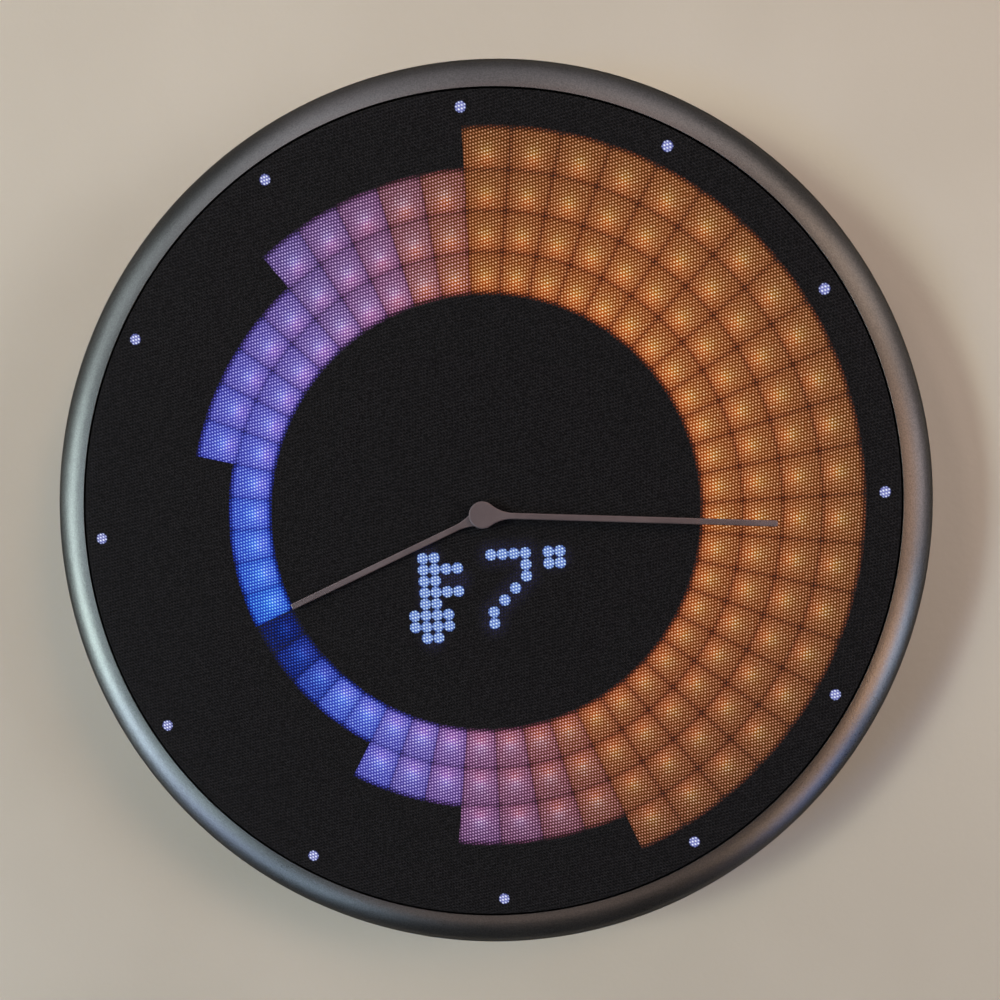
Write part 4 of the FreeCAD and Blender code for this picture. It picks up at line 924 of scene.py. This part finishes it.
# and these are the bright things that the metal mirrors
mirroredLamps = {
    "ceiling": {"place": (0, 36), "size": (1.00, 0.30), "power": 0.85, "colour": (1.0, 0.64, 0.60)},
    "ceilingHigh": {"place": (0, 64), "size": (1.20, 0.60), "power": 1.4, "colour": (1.0, 0.90, 0.94)},
    "ceilingLeft": {"place": (-30, 40), "size": (0.70, 0.60), "power": 1.4, "colour": (0.92, 0.95, 1.0)},
    "ceilingRight": {"place": (30, 46), "size": (0.70, 0.40), "power": 1.0, "colour": (1.0, 0.84, 0.78)},
    "floor": {"place": (0, -42), "size": (1.00, 0.30), "power": 0.7, "colour": (1.0, 0.72, 0.60)},
    "floorLeft": {"place": (-45, -46), "size": (0.50, 0.30), "power": 1.0, "colour": (0.60, 0.80, 1.0)},
    "curtain": {"place": (-44, 4), "size": (0.30, 0.50), "power": 1.05, "colour": (0.77, 0.91, 1.0)},
    "curtainLow": {"place": (-44, -24), "size": (0.30, 0.40), "power": 1.1, "colour": (0.76, 0.95, 1.0)},
    "pane": {"place": (-66, 3), "size": (0.26, 0.30), "power": 2.1, "colour": (0.83, 1.0, 0.98)},
    "paneUp": {"place": (-64, 15), "size": (0.26, 0.26), "power": 1.4, "colour": (0.83, 1.0, 0.97)},
    "paneHigh": {"place": (-58, 30), "size": (0.50, 0.40), "power": 1.1, "colour": (0.87, 0.99, 1.0)},
    "paneDown": {"place": (-66, -9), "size": (0.26, 0.26), "power": 2.4, "colour": (0.81, 1.0, 0.94)},
    "paneLow": {"place": (-64, -21), "size": (0.28, 0.28), "power": 2.2, "colour": (0.67, 0.84, 1.0)},
    "sill": {"place": (-60, -34), "size": (0.30, 0.30), "power": 1.0, "colour": (0.54, 0.67, 1.0)},
    "shelf": {"place": (48, 6), "size": (0.45, 0.40), "power": 1.3, "colour": (1.0, 0.60, 0.40)},
    "shelfHigh": {"place": (46, 28), "size": (0.50, 0.40), "power": 1.2, "colour": (1.0, 0.72, 0.54)},
    "shelfLow": {"place": (50, -16), "size": (0.45, 0.36), "power": 1.9, "colour": (1.0, 0.58, 0.34)},
    "boards": {"place": (50, -36), "size": (0.50, 0.36), "power": 1.0, "colour": (1.0, 0.64, 0.39)},
    "door": {"place": (66, 6), "size": (0.25, 0.40), "power": 0.85, "colour": (1.0, 0.87, 0.90)},
    "doorHigh": {"place": (64, 28), "size": (0.30, 0.40), "power": 0.55, "colour": (1.0, 0.85, 0.79)},
    "doorLow": {"place": (66, -16), "size": (0.25, 0.36), "power": 1.4, "colour": (0.54, 0.73, 1.0)},
    "doorFoot": {"place": (62, -36), "size": (0.30, 0.36), "power": 0.7, "colour": (0.05, 0.36, 1.0)},
}


lampsAway = 1.3    # metres from the hands' axis


def makeLights(table, kind):
    for name, lamp in table.items():
        data = bpy.data.lights.new(name + kind, "AREA")
        data.shape = "RECTANGLE"
        data.size, data.size_y = lamp["size"]
        data.energy = lamp["power"]
        data.color = lamp["colour"]
        light = bpy.data.objects.new(name + kind, data)
        azimuth, elevation = [math.radians(a) for a in lamp["place"]]
        flat = math.cos(elevation)
        back = Vector((math.sin(azimuth) * flat, -math.cos(azimuth) * flat, math.sin(elevation)))
        light.location = back * lampsAway
        light.visible_camera = False
        if not name.startswith("behind"):
            light.visible_diffuse = kind == "Matt"
            light.visible_glossy = kind == "Mirrored"
        light.rotation_euler = (-back).to_track_quat("-Z", "Y").to_euler()
        bpy.context.scene.collection.objects.link(light)


# the room's grey, from below to above
roomGlow = [(0.0, 0.055), (0.45, 0.075), (0.60, 0.09), (1.0, 0.11)]


def makeWorld(stops):
    world = bpy.data.worlds.new("room")
    world.use_nodes = True
    bpy.context.scene.world = world
    tree = world.node_tree
    tree.nodes.clear()
    place = tree.nodes.new("ShaderNodeTexCoord")
    up = splitUp(tree, place.outputs["Generated"])[2]
    height = maths(tree, "MULTIPLY_ADD", up, 0.5, 0.5)
    room = ramp(tree, height, [(place, (grey, grey, grey)) for place, grey in stops])
    lit = tree.nodes.new("ShaderNodeBackground")
    tree.links.new(room, lit.inputs["Color"])
    lit.inputs["Strength"].default_value = 1.0
    out = tree.nodes.new("ShaderNodeOutputWorld")
    tree.links.new(lit.outputs[0], out.inputs["Surface"])


makeLights(mattLamps, "Matt")
makeLights(mirroredLamps, "Mirrored")
makeWorld(roomGlow)
bpy.context.scene.view_settings.view_transform = "Standard"
print("lights set")
